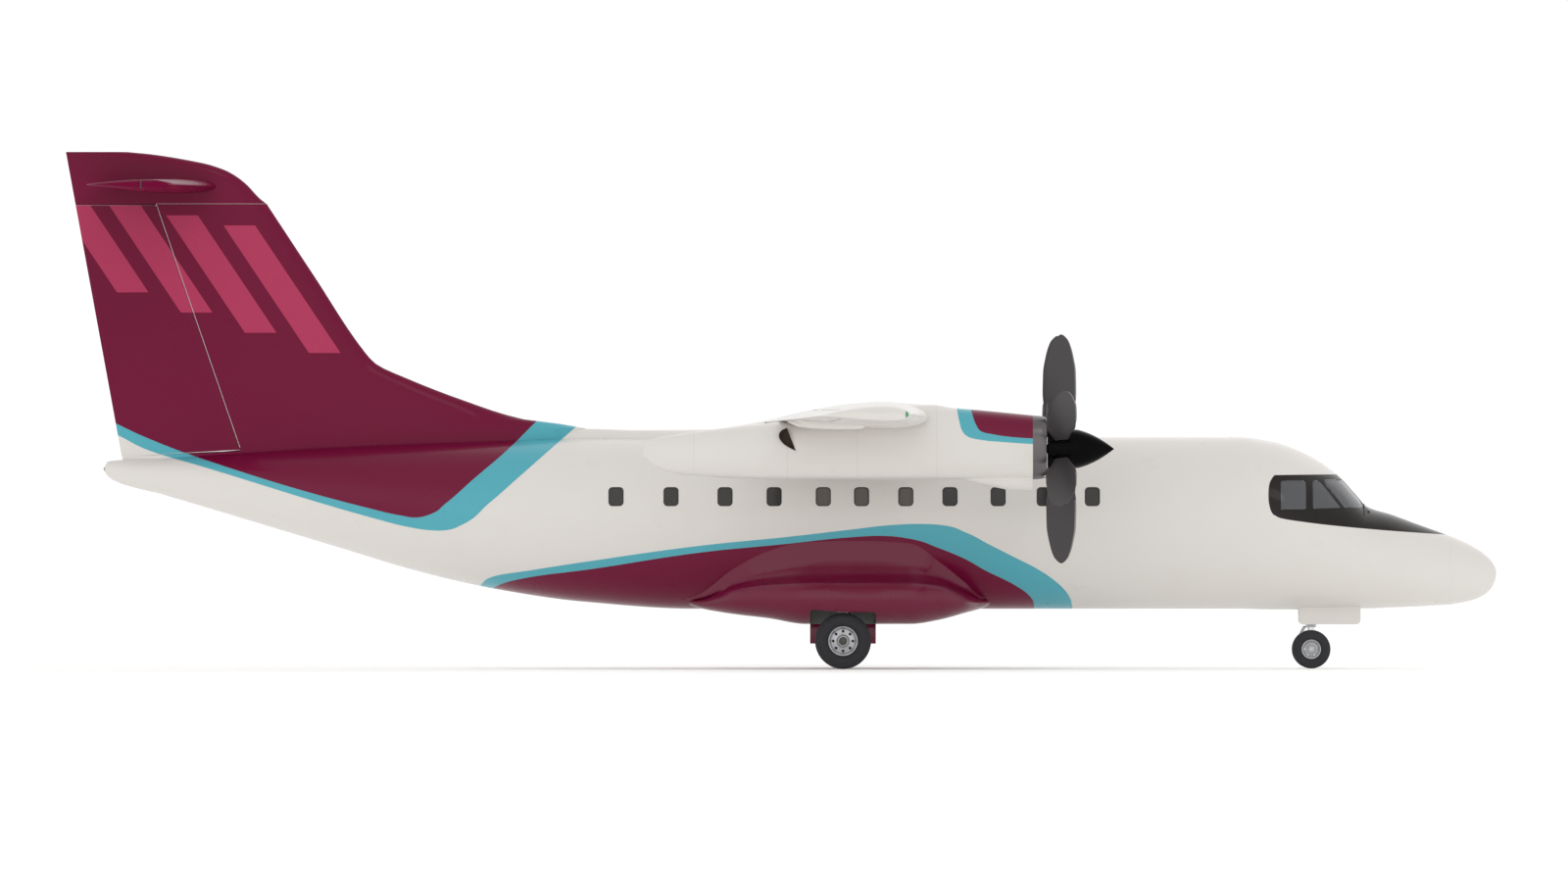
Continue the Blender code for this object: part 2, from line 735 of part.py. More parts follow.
def build_fairing(fuselage_cutter):
    rings = []
    for x, top, half_width in FAIRING_STATIONS:
        ring = []
        for step in range(FAIRING_POINTS):
            across, up = superellipse(math.pi * step / (FAIRING_POINTS - 1), FAIRING_POWER)
            ring.append((x, across * half_width, FAIRING_FOOT + up * (top - FAIRING_FOOT)))
        rings.append(ring)
    fairing = loft("wing_fairing", rings, "white_paint")
    tunnel_stations = (-FAIRING_TUNNEL_HALF, 0.0, FAIRING_TUNNEL_HALF)
    tunnel = loft("fairing_tunnel", wing_rings(tunnel_stations, SEAT_GAP), None)
    cut(fairing, fuselage_cutter, tunnel)
    for side_name, side in SIDES:
        cut(fairing, bpy.data.objects[f"flap_inner_{side_name}_cove"])


def line_at(line, z):
    """x of a slanted line in the fin's plane at height z."""
    (x_low, z_low), (x_high, z_high) = line["low"], line["high"]
    return x_low + (x_high - x_low) * (z - z_low) / (z_high - z_low)


def fin_ring(z, nose, thickness):
    trail = line_at(FIN_TRAIL, z)
    chord = nose - trail
    section = airfoil_ring(thickness / chord, 0.0, FIN_POINTS)
    return [(nose - aft * chord, up * chord, z) for aft, up in section]


def fin_line(z):
    """Leading edge x, chord, share of the chord at the rudder's hinge and thickness at height z.

    The thickness follows from the round nose of the rudder, whose radius stays the same.
    """
    for near, far in zip(FIN_STATIONS, FIN_STATIONS[1:]):
        if near[0] <= z <= far[0]:
            nose = near[1] + (far[1] - near[1]) * (z - near[0]) / (far[0] - near[0])
            chord = nose - line_at(FIN_TRAIL, z)
            hinge = (nose - line_at(RUDDER_HINGE, z)) / chord
            return nose, chord, hinge, RUDDER_NOSE / airfoil_half(hinge)
    raise ValueError(f"no fin at {z}")


def rudder_ring(z):
    nose, chord, hinge, thickness = fin_line(z)
    section = flap_ring(thickness / chord, 0.0, hinge)
    return [(nose - aft * chord, up * chord, z) for aft, up in section]


def build_fin(fuselage_cutter):
    fin_rings = [fin_ring(z, nose, fin_line(z)[3]) for z, nose in FIN_STATIONS]
    fin = loft("fin", fin_rings, "burgundy_paint")
    low, high = Vector((*RUDDER_HINGE["low"], 0.0)).xzy, Vector((*RUDDER_HINGE["high"], 0.0)).xzy
    along = (high - low).normalized()
    cove_rings = []
    for z in (3.0, 7.50):
        front = line_at(RUDDER_HINGE, z) + RUDDER_NOSE / along.z + HINGE_GAP
        cove_rings.append([(front, -0.5, z), (front, 0.5, z), (front - 4.0, 0.5, z), (front - 4.0, -0.5, z)])
    cut(fin, loft("rudder_cove", cove_rings, None), fuselage_cutter)

    tip = loft("fin_tip", [fin_ring(*row) for row in TIP_STATIONS], "burgundy_paint")

    pivot = (line_at(RUDDER_HINGE, 5.4), 0.0, 5.4)
    rings = [rudder_ring(z) for z in (3.21, 3.80, 4.24, 4.83, 5.60, RUDDER_TOP)]
    rudder = loft("rudder", rings, "burgundy_paint", pivot)
    (x_front, z_front), (x_back, z_back) = RUDDER_FOOT["front"], RUDDER_FOOT["back"]
    foot_rings = []
    for y in (-0.5, 0.5):
        foot_rings.append([(x_front, y, z_front), (x_back, y, z_back), (x_back, y, 2.8), (x_front, y, 2.8)])
    cut(rudder, loft("rudder_foot", foot_rings, None))

    top = Vector((line_at(RUDDER_HINGE, RUDDER_TOP), 0.0, RUDDER_TOP))
    for end, host, reach in ((top, tip, 0.075), (low, bpy.data.objects["aft_fuselage"], 0.16)):
        step = along * reach
        deep = along * (reach + SEAT_GAP)
        bore = hole_radius(RUDDER_PIN, PIN_SIDES)
        join(rudder, rod(f"rudder_pin_{host.name}", end - step, end + step, RUDDER_PIN, None, PIN_SIDES))
        cut(host, rod(f"rudder_pin_hole_{host.name}", end - deep, end + deep, bore, None, PIN_SIDES))
    return tip


def tail_line(y):
    share = abs(y) / TAIL_HALF
    nose = TAIL_ROOT["nose"] + (TAIL_TIP["nose"] - TAIL_ROOT["nose"]) * share
    chord = TAIL_ROOT["chord"] + (TAIL_TIP["chord"] - TAIL_ROOT["chord"]) * share
    return nose, chord


def tail_rings(stations, grow=0.0, section_of=None):
    rings = []
    for y in stations:
        nose, chord = tail_line(y)
        hinge = (nose - TAIL_HINGE_X) / chord
        if section_of is None:
            section = airfoil_ring(TAIL_RATIO, 0.0, TAIL_POINTS, grow / chord)
        else:
            section = section_of(TAIL_RATIO, 0.0, hinge)
        rings.append([(nose - aft * chord, y, TAIL_HEIGHT + up * chord) for aft, up in section])
    return rings


def build_tailplane(tip):
    tailplane = loft("tailplane", tail_rings((-TAIL_HALF, 0.0, TAIL_HALF)), "burgundy_paint")
    cove_front = TAIL_HINGE_X + 0.093 + HINGE_GAP
    middle_back = block(
        "tail_middle_back",
        (-11.5, -(ELEVATOR_INNER - END_GAP), 7.0),
        (cove_front, ELEVATOR_INNER - END_GAP, 8.4),
        None,
    )
    cut(tailplane, middle_back)
    slot = loft("tailplane_slot", tail_rings((-0.6, 0.0, 0.6), SEAT_GAP), None)
    front_only = block("slot_back", (-12.0, -1.0, 7.0), (cove_front - SEAT_GAP, 1.0, 8.4), None)
    cut(slot, front_only)
    cut(tip, slot)
    for side_name, side in SIDES:
        inner, outer = side * ELEVATOR_INNER, side * ELEVATOR_OUTER
        cove = block(
            f"elevator_cove_{side_name}",
            (-11.5, min(inner - side * END_GAP, outer + side * END_GAP), 7.0),
            (cove_front, max(inner - side * END_GAP, outer + side * END_GAP), 8.4),
            None,
        )
        cut(tailplane, cove)
        pivot = (TAIL_HINGE_X, inner, TAIL_HEIGHT)
        elevator = loft(
            f"elevator_{side_name}",
            tail_rings((inner, outer), 0.0, flap_ring),
            "burgundy_paint",
            pivot,
        )
        start = (TAIL_HINGE_X, side * (ELEVATOR_INNER + 0.05), TAIL_HEIGHT)
        end = (TAIL_HINGE_X, side * 0.09, TAIL_HEIGHT)
        deep = (TAIL_HINGE_X, side * 0.089, TAIL_HEIGHT)
        bore = hole_radius(ELEVATOR_PIN, PIN_SIDES)
        join(elevator, rod(f"elevator_pin_{side_name}", start, end, ELEVATOR_PIN, None, PIN_SIDES))
        cut(tip, rod(f"elevator_pin_hole_{side_name}", start, deep, bore, None, PIN_SIDES))


def oval_ring(x, y_middle, top, bottom, half_width, power=2.3, sides=NACELLE_SIDES):
    middle, half = (top + bottom) / 2, (top - bottom) / 2
    ring = []
    for step in range(sides):
        across, up = superellipse(math.tau * (step + 0.5) / sides, power)
        ring.append((x, y_middle + across * half_width, middle + up * half))
    return ring


def build_nacelles():
    for side_name, side in SIDES:
        y = side * ENGINE_Y
        rings = [oval_ring(x, y, top, bottom, half) for x, top, bottom, half in NACELLE_STATIONS]
        nacelle = loft(f"nacelle_{side_name}", rings, "white_paint")
        chin_rings = [oval_ring(x, y, CHIN_TOP, bottom, half, 2.0, 14) for x, bottom, half in CHIN_STATIONS]
        join(nacelle, loft(f"chin_{side_name}", chin_rings, None))
        front = NACELLE_STATIONS[-1][0]
        wing_slot = loft(f"wing_slot_{side_name}", wing_rings((y - 0.7, y + 0.7), SEAT_GAP), None)
        bore = rod(
            f"engine_bore_{side_name}",
            (ENGINE_BACK - SEAT_GAP, y, SHAFT_Z),
            (front + 0.1, y, SHAFT_Z),
            ENGINE_RADIUS + SEAT_GAP,
            None,
            24,
        )
        duct = block(
            f"duct_{side_name}",
            (front - DUCT["depth"], y - DUCT["half_width"], DUCT["low"]),
            (LIP_FRONT + 0.1, y + DUCT["half_width"], DUCT["high"]),
            None,
        )
        mouth = block(
            f"chin_mouth_{side_name}",
            (front - CHIN_MOUTH["depth"], y - CHIN_MOUTH["half_width"], CHIN_MOUTH["low"]),
            (front + 0.1, y + CHIN_MOUTH["half_width"], CHIN_MOUTH["high"]),
            None,
        )
        outer_y = y + side * 0.50
        exhaust_rings = []
        for at in (outer_y - side * EXHAUST_DEPTH, outer_y + side * 0.15):
            exhaust_rings.append([(x, at, z) for x, z in EXHAUST])
        exhaust = loft(f"exhaust_{side_name}", exhaust_rings, None)
        cut(nacelle, wing_slot, bore, duct, mouth, exhaust)

        lip_rings = [oval_ring(x, y, top, bottom, half) for x, top, bottom, half in LIP_STATIONS]
        lip = loft(f"intake_lip_{side_name}", lip_rings, "lip_metal")
        hole = rod(
            f"lip_hole_{side_name}",
            (front - 0.05, y, SHAFT_Z),
            (LIP_FRONT + 0.05, y, SHAFT_Z),
            LIP_HOLE,
            None,
            32,
        )
        cut(lip, hole, duct)

        engine = rod(
            f"engine_{side_name}",
            (ENGINE_BACK, y, SHAFT_Z),
            (ENGINE_FRONT, y, SHAFT_Z),
            ENGINE_RADIUS,
            "engine_metal",
            24,
        )
        shaft_hole = rod(
            f"shaft_hole_{side_name}",
            (SHAFT_BACK - 0.005, y, SHAFT_Z),
            (ENGINE_FRONT + 0.05, y, SHAFT_Z),
            hole_radius(SHAFT_RADIUS, AXLE_SIDES),
            None,
            AXLE_SIDES,
        )
        cut(engine, shaft_hole)
        build_propeller(side_name, y)


def blade_ring(radius, chord, thickness, pitch):
    """Lens section of one blade that stands along +Z, about the blade's own axis."""
    pitch = math.radians(pitch)
    ring = []
    for step in range(BLADE_POINTS):
        angle = math.tau * step / BLADE_POINTS
        along, off = math.cos(angle) * chord / 2, math.sin(angle) * thickness / 2
        ring.append((
            along * math.sin(pitch) - off * math.cos(pitch),
            along * math.cos(pitch) + off * math.sin(pitch),
            radius,
        ))
    return ring


def build_propeller(side_name, y):
    centre = (PROP_X, y, SHAFT_Z)
    profile = (
        (0.0, HUB_FRONT - PROP_X),
        (HUB_FRONT_RADIUS, HUB_FRONT - PROP_X),
        (HUB_RADIUS, 0.0),
        (HUB_RADIUS, HUB_BACK - PROP_X),
        (SHAFT_RADIUS, HUB_BACK - PROP_X),
        (SHAFT_RADIUS, SHAFT_BACK - PROP_X),
        (0.0, SHAFT_BACK - PROP_X),
    )
    propeller = turned(f"propeller_{side_name}", profile, "blade_grey", centre, "X", AXLE_SIDES)
    shape = bmesh.new()
    for index in range(BLADES):
        turn = Matrix.Translation(centre) @ Matrix.Rotation(math.tau * index / BLADES, 4, "X")
        loft_into(shape, [[turn @ Vector(point) for point in blade_ring(*row)] for row in BLADE_STATIONS])
    join(propeller, place(f"blades_{side_name}", shape, None))

    length = SPINNER_TIP - HUB_FRONT
    nose = [(0.0, SPINNER_TIP - PROP_X)]
    for step in range(1, SPINNER_STEPS + 1):
        share = step / SPINNER_STEPS
        radius = HUB_FRONT_RADIUS * math.sin(share * math.pi / 2) ** 1.15
        nose.append((radius, SPINNER_TIP - PROP_X - length * share))
    nose[-1] = (HUB_FRONT_RADIUS, HUB_FRONT + SEAT_GAP - PROP_X)
    nose.append((0.0, HUB_FRONT + SEAT_GAP - PROP_X))
    turned(f"spinner_{side_name}", nose, "black_gloss", centre, "X", AXLE_SIDES)


def pod_section(top, shoulder, bottom, half_width):
    """Half section of a gear fairing as y and z, from the middle of the belly up to its top."""
    flat = POD_FLAT * half_width
    points = [(SEAT_GAP / 2, bottom), (flat, bottom)]
    rise = (shoulder - bottom) * POD_RISE
    for step in range(1, 6):
        angle = math.pi / 2 * step / 5
        points.append((flat + (half_width - flat) * math.sin(angle), bottom + rise * (1 - math.cos(angle))))
    points.append((half_width * POD_BROW[0], bottom + (shoulder - bottom) * POD_BROW[1]))
    points.append((half_width * POD_EDGE, shoulder))
    radius, middle = HULL_STATIONS[9][3], HULL_STATIONS[9][4]
    side = max(POD_LEAST_SIDE, math.sqrt(max(0.0, radius**2 - (top - middle) ** 2)) - POD_SINK)
    edge = half_width * POD_EDGE
    for share in POD_WALL_SHARES:
        inward = share**POD_WALL_POWER
        points.append((edge + (side - edge) * inward, shoulder + (top - shoulder) * share))
    points.append((SEAT_GAP / 2, top))
    return points


def build_pods(fuselage_cutter):
    for side_name, side in SIDES:
        rings = []
        for x, top, shoulder, bottom, half_width in POD_STATIONS:
            rings.append([(x, side * y, z) for y, z in pod_section(top, shoulder, bottom, half_width)])
        pod = loft(f"gear_fairing_{side_name}", rings, "burgundy_paint")
        near, step, far = (side * y for y in (BAY_Y[0], BAY_STEP_Y, BAY_Y[1]))
        bay = block(
            f"wheel_bay_{side_name}",
            (BAY_X[0], min(near, far), BAY_FOOT),
            (BAY_X[1], max(near, far), BAY_LOW_ROOF),
            None,
        )
        strut_well = block(
            f"strut_well_{side_name}",
            (BAY_X[0], min(near, step), BAY_FOOT),
            (BAY_X[1], max(near, step), BAY_ROOF),
            None,
        )
        cut(pod, fuselage_cutter, bay, strut_well)


def tyre_profile(tyre):
    """Closed outline of a tyre, from the outer side's bead over the tread."""
    half = tyre["width"] / 2
    radius, bead, shoulder = tyre["radius"], tyre["bead"], tyre["shoulder"]
    side = (
        (bead, half * 0.72),
        (shoulder, half),
        (radius - 0.035, half * 0.90),
        (radius - 0.006, half * 0.60),
        (radius, half * 0.28),
    )
    return side + tuple((at, -across) for at, across in reversed(side))


def rim_profile(tyre, bore):
    """Closed outline of a rim with its web and hub, from the outer flange round to the bore."""
    half = tyre["width"] / 2
    bead = tyre["bead"] - SEAT_GAP
    return (
        (bead, half * 0.72),
        (bead, -half * 0.72),
        (bead - 0.022, -half * 0.72),
        (bore + 0.06, -half * 0.20),
        (bore + 0.045, -half * 0.55),
        (bore, -half * 0.55),
        (bore, half * 0.55),
        (bore + 0.045, half * 0.55),
        (bore + 0.06, half * 0.20),
        (bead - 0.022, half * 0.72),
    )


def wheel_height(tyre):
    return tyre["radius"] * math.cos(math.pi / WHEEL_STEPS)


def build_wheel(label, tyre, axle, centre):
    turned(f"{label[0]}_tyre_{label[1]}", tyre_profile(tyre), "rubber", centre, "Y", WHEEL_STEPS, True)
    turned(
        f"{label[0]}_rim_{label[1]}",
        rim_profile(tyre, hole_radius(axle, WHEEL_STEPS)),
        "rim_metal",
        centre,
        "Y",
        WHEEL_STEPS,
        True,
    )


def build_main_gear():
    height = wheel_height(MAIN_TYRE)
    for side_name, side in SIDES:
        build_wheel(("main", side_name), MAIN_TYRE, MAIN_AXLE, (MAIN_X, side * MAIN_Y, height))
        leg = rod(
            f"main_gear_leg_{side_name}",
            (MAIN_X, side * MAIN_STRUT_Y, height - 0.09),
            (MAIN_X, side * MAIN_STRUT_Y, BAY_ROOF - SEAT_GAP),
            0.085,
            "gear_paint",
        )
        axle = rod(
            f"main_axle_{side_name}",
            (MAIN_X, side * (MAIN_STRUT_Y - 0.02), height),
            (MAIN_X, side * (MAIN_Y + 0.13), height),
            MAIN_AXLE,
            None,
            WHEEL_STEPS,
            roll=math.pi / WHEEL_STEPS,
        )
        brace = rod(
            f"main_brace_{side_name}",
            (MAIN_X, side * MAIN_STRUT_Y, 0.95),
            (MAIN_X + 0.42, side * MAIN_STRUT_Y, BAY_ROOF - 0.04),
            0.035,
            None,
            12,
        )
        join(leg, axle, brace)
        block(
            f"main_gear_door_{side_name}",
            (BAY_X[0], min(side * 1.03, side * 1.05), 0.40),
            (BAY_X[1], max(side * 1.03, side * 1.05), 0.71 - SEAT_GAP),
            "burgundy_paint",
        )


def build_nose_gear():
    height = wheel_height(NOSE_TYRE)
    for side_name, side in SIDES:
        build_wheel(("nose", side_name), NOSE_TYRE, NOSE_AXLE, (NOSE_X, side * NOSE_Y, height))
    leg = rod(
        "nose_gear_leg",
        (NOSE_X, 0.0, 0.68),
        (NOSE_X, 0.0, NOSE_BAY_ROOF - SEAT_GAP),
        NOSE_STRUT,
        "gear_paint",
    )
    brace_end = (NOSE_X + 0.55, 0.0, NOSE_BAY_ROOF - 0.04)
    join(leg, rod("nose_brace", (NOSE_X, 0.0, 0.90), brace_end, 0.035, None, 12))
    bore = hole_radius(NOSE_PISTON, AXLE_SIDES)
    cut(leg, rod("nose_socket", (NOSE_X, 0.0, 0.60), (NOSE_X, 0.0, 1.005), bore, None, AXLE_SIDES))

    piston = rod(
        "nose_gear_fork",
        (NOSE_X, 0.0, height - 0.06),
        (NOSE_X, 0.0, 1.0),
        NOSE_PISTON,
        "gear_paint",
        AXLE_SIDES,
        (NOSE_X, 0.0, height),
    )
    reach = NOSE_Y + NOSE_TYRE["width"] / 2 - 0.01
    axle = rod(
        "nose_axle",
        (NOSE_X, -reach, height),
        (NOSE_X, reach, height),
        NOSE_AXLE,
        None,
        WHEEL_STEPS,
        roll=math.pi / WHEEL_STEPS,
    )
    lug = block("tow_lug", (NOSE_X, -0.04, height - 0.04), (NOSE_X + 0.12, 0.04, height + 0.04), None)
    join(piston, axle, lug)

    door_cutter = loft("nose_door_cutter", hull_rings(7.25, 10.61), None)
    door_cutter.location.z = -SEAT_GAP
    for side_name, side in SIDES:
        inner, outer = side * (NOSE_BAY_HALF + 0.004), side * (NOSE_BAY_HALF + 0.004 + NOSE_DOOR_THICK)
        door = block(
            f"nose_gear_door_{side_name}",
            (NOSE_BAY_X[0], min(inner, outer), 0.70),
            (NOSE_BAY_X[1], max(inner, outer), 1.06),
            "white_paint",
        )
        cut(door, door_cutter)


build_fuselage()
build_cockpit()
hull_cutter = loft("hull_cutter", hull_rings(-10.72, 7.25, SEAT_GAP * 2), None)
build_wing()
build_fairing(hull_cutter)
fin_tip = build_fin(hull_cutter)
build_tailplane(fin_tip)
build_nacelles()
build_pods(hull_cutter)
build_main_gear()
build_nose_gear()
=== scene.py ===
# Looks of a high wing turboprop airliner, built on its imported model.
# +X is to the nose, +Y to port and +Z up, in metres. The photo is a view along +Y.
import math

import bmesh
import bpy
from mathutils import Matrix, Vector


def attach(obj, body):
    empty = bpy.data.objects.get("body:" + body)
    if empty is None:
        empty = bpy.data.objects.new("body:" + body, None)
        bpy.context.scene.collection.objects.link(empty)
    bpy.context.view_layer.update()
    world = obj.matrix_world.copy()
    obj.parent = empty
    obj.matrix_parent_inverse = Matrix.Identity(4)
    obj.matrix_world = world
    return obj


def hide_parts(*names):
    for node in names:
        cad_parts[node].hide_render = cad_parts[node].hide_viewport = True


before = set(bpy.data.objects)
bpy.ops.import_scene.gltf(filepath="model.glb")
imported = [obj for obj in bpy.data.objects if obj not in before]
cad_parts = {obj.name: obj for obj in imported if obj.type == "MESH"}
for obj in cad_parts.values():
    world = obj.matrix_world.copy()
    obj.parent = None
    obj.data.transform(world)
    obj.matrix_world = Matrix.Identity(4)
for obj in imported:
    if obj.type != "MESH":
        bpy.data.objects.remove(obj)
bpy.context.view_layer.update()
sides = (("left", 1), ("right", -1))
airframe = "airframe"
hairGap = 0.0004  # keeps neighbouring pieces from sharing a face
print("frame loaded")


# Working tools

def rgb(hexText):
    # an sRGB hex value as Blender's linear colour
    parts = [int(hexText[start:start + 2], 16) / 255 for start in (1, 3, 5)]
    linear = [part / 12.92 if part <= 0.04045 else ((part + 0.055) / 1.055) ** 2.4 for part in parts]
    return (*linear, 1.0)


def addNode(tree, kind, settings, inputs):
    node = tree.nodes.new(kind)
    for key, value in settings.items():
        setattr(node, key, value)
    for key, value in inputs.items():
        if isinstance(value, bpy.types.NodeSocket):
            tree.links.new(value, node.inputs[key])
        else:
            node.inputs[key].default_value = value
    return node


def startMaterial(name, colour, roughness, **sockets):
    material = bpy.data.materials.new(name)
    material.use_nodes = True
    tree = material.node_tree
    shader = tree.nodes["Principled BSDF"]
    shader.inputs["Base Color"].default_value = rgb(colour)
    shader.inputs["Roughness"].default_value = roughness
    for key, value in sockets.items():
        shader.inputs[key.replace("_", " ")].default_value = value
    material.diffuse_color = rgb(colour)
    return material, tree, shader


def objectPlace(tree):
    return addNode(tree, "ShaderNodeTexCoord", {}, {}).outputs["Object"]


def rowAt(rows, at):
    # the columns at one place run smoothly through the rows and never swing past them
    if at <= rows[0][0]:
        return list(rows[0])
    if at >= rows[-1][0]:
        return list(rows[-1])
    index = max(i for i, row in enumerate(rows[:-1]) if row[0] <= at)
    near, far = rows[index], rows[index + 1]
    step = far[0] - near[0]
    share = (at - near[0]) / step
    result = [at]
    for column in range(1, len(near)):
        rise = (far[column] - near[column]) / step
        slopes = []
        for middle in (index, index + 1):
            if middle == 0 or middle == len(rows) - 1:
                slopes.append(rise)
                continue
            before, here, after = rows[middle - 1:middle + 2]
            riseBefore = (here[column] - before[column]) / (here[0] - before[0])
            riseAfter = (after[column] - here[column]) / (after[0] - here[0])
            both = riseBefore * riseAfter
            slopes.append(2 * both / (riseBefore + riseAfter) if both > 0 else 0.0)
        square, cube = share * share, share ** 3
        result.append(
            near[column] * (2 * cube - 3 * square + 1)
            + slopes[0] * step * (cube - 2 * square + share)
            + far[column] * (3 * square - 2 * cube)
            + slopes[1] * step * (cube - square)
        )
    return result


def spread(low, high, count):
    return [low + (high - low) * step / count for step in range(count + 1)]


def crowded(low, high, count):
    # steps that grow shorter and shorter towards the high end
    return [low + (high - low) * math.sin(math.pi / 2 * step / count) for step in range(count + 1)]


def fromTip(tip, reach, gap, high, count):
    # stations close together at a tip, then even ones
    return [tip + reach * (step / 8) ** 2 for step in range(9)] + spread(tip + reach + gap, high, count)


def bent(value, power):
    # a sine or cosine as a rounded square has it; a power of 2 is the plain circle
    return math.copysign(abs(value) ** (2 / power), value)


def gridSkin(values, around, pointAt):
    # a grid whose columns stand at the values and whose rows run once round, closed at both ends
    bm = bmesh.new()
    steps = len(values) - 1
    bmesh.ops.create_grid(bm, x_segments=steps, y_segments=around, size=0.5)
    for vert in bm.verts:
        column = round((vert.co.x + 0.5) * steps)
        vert.co = pointAt(values[column], vert.co.y + 0.5)
    bmesh.ops.remove_doubles(bm, verts=bm.verts, dist=0.00002)
    rim = [edge for edge in bm.edges if edge.is_boundary]
    bmesh.ops.holes_fill(bm, edges=rim, sides=0)
    bmesh.ops.dissolve_degenerate(bm, dist=0.00001, edges=bm.edges)
    bmesh.ops.recalc_face_normals(bm, faces=bm.faces)
    return bm


def tempObject(bm):
    mesh = bpy.data.meshes.new("tool")
    bm.to_mesh(mesh)
    bm.free()
    tool = bpy.data.objects.new("tool", mesh)
    bpy.context.scene.collection.objects.link(tool)
    return tool


def applied(base, *helpers):
    # what the modifiers make of the base, which goes away with its helpers
    result = bmesh.new()
    result.from_object(base, bpy.context.evaluated_depsgraph_get())
    for item in (base, *helpers):
        mesh = item.data
        bpy.data.objects.remove(item)
        bpy.data.meshes.remove(mesh)
    return result


def carved(bm, tools, operation="DIFFERENCE"):
    # the shape after each tool has been cut from it, kept in common with it or joined to it
    base = tempObject(bm)
    helpers = [tempObject(tool) for tool in tools]
    for helper in helpers:
        step = base.modifiers.new("cut", "BOOLEAN")
        step.operation = operation
        step.solver = "EXACT"
        step.object = helper
    return applied(base, *helpers)


def moved(bm, matrix):
    bmesh.ops.transform(bm, matrix=matrix, verts=bm.verts)
    return bm


def bevelled(bm, geom, offset, segments=2, affect="EDGES"):
    bmesh.ops.bevel(bm, geom=geom, offset=offset, segments=segments, profile=0.5, affect=affect, material=-1)
    return bm


def merged(shapes):
    # several shapes as one, each kept as its own solid
    result = bmesh.new()
    for shape in shapes:
        mesh = bpy.data.meshes.new("part")
        shape.to_mesh(mesh)
        shape.free()
        result.from_mesh(mesh)
        bpy.data.meshes.remove(mesh)
    return result


def tinted(bm, index):
    for face in bm.faces:
        face.material_index = index
    return bm


def about(middle, half):
    return middle - half, middle + half


def box(x, y, z, rounding=0.0, segments=2):
    # from the two limits along each axis, given in either order
    low, high = (Vector(corner) for corner in zip(*(sorted(pair) for pair in (x, y, z))))
    bm = bmesh.new()
    matrix = Matrix.Translation((low + high) / 2) @ Matrix.Diagonal((*(high - low), 1.0))
    bmesh.ops.create_cube(bm, size=1.0, matrix=matrix)
    return bevelled(bm, bm.edges[:], rounding, segments) if rounding else bm


def facing(along):
    # turns Z to a direction
    return Vector(along).to_track_quat("Z", "Y").to_matrix().to_4x4()


def rod(start, end, radius, endRadius=None, steps=24, rounding=0.0):
    start, end = Vector(start), Vector(end)
    along = end - start
    place = Matrix.Translation((start + end) / 2) @ facing(along)
    radii = {"radius1": radius, "radius2": radius if endRadius is None else endRadius}
    bm = bmesh.new()
    bmesh.ops.create_cone(bm, cap_ends=True, segments=steps, depth=along.length, matrix=place, **radii)
    if rounding:
        rims = [edge for edge in bm.edges if any(len(face.verts) > 4 for face in edge.link_faces)]
        bevelled(bm, rims, rounding)
    return bm


def crossRod(x, y, z, reach, radius, steps=24, rounding=0.0):
    # a rod along Y, as far to each side of its middle
    return rod((x, y - reach, z), (x, y + reach, z), radius, steps=steps, rounding=rounding)


def turned(profile, centre, along, steps, ring=False):
    # a profile of radius and height spun round the axis through the centre; a ring's profile is closed
    bm = bmesh.new()
    verts = [bm.verts.new((radius, 0.0, height)) for radius, height in profile]
    ends = list(zip(verts, verts[1:] + verts[:1]))
    edges = [bm.edges.new(pair) for pair in (ends if ring else ends[:-1])]
    sweep = {"axis": (0, 0, 1), "cent": (0, 0, 0), "dvec": (0, 0, 0), "angle": math.tau, "steps": steps}
    bmesh.ops.spin(bm, geom=verts + edges, use_merge=True, **sweep)
    bmesh.ops.remove_doubles(bm, verts=bm.verts, dist=0.00002)
    bmesh.ops.recalc_face_normals(bm, faces=bm.faces)
    return moved(bm, Matrix.Translation(centre) @ facing(along))


def plate(outline, low, high, rounding=0.0, segments=5):
    # a slab along Y from an outline of x and z with rounded corners
    bm = bmesh.new()
    face = bm.faces.new([bm.verts.new((x, low, z)) for x, z in outline])
    if rounding:
        bevelled(bm, bm.verts[:], rounding, segments, "VERTICES")
        face = bm.faces[:][0]
    grown = bmesh.ops.extrude_face_region(bm, geom=[face])["geom"]
    fresh = [item for item in grown if isinstance(item, bmesh.types.BMVert)]
    bmesh.ops.translate(bm, vec=(0, high - low, 0), verts=fresh)
    bmesh.ops.recalc_face_normals(bm, faces=bm.faces)
    return bm


def rectangle(wide, tall):
    (left, right), (foot, head) = wide, tall
    return [(left, foot), (right, foot), (right, head), (left, head)]


def drawnIn(outline, inset):
    # an outline with every side moved inwards by the same width
    middle = sum((Vector(point) for point in outline), Vector((0, 0))) / len(outline)
    lines = []
    for point, following in zip(outline, (*outline[1:], outline[0])):
        start, end = Vector(point), Vector(following)
        along = (end - start).normalized()
        inward = Vector((-along.y, along.x))
        if inward.dot(middle - start) < 0:
            inward = -inward
        lines.append((start + inward * inset, along))
    corners = []
    for (start, along), (other, across) in zip((lines[-1], *lines), lines):
        crossing = along.x * across.y - along.y * across.x
        gap = other - start
        share = (gap.x * across.y - gap.y * across.x) / crossing
        corners.append(tuple(start + along * share))
    return corners


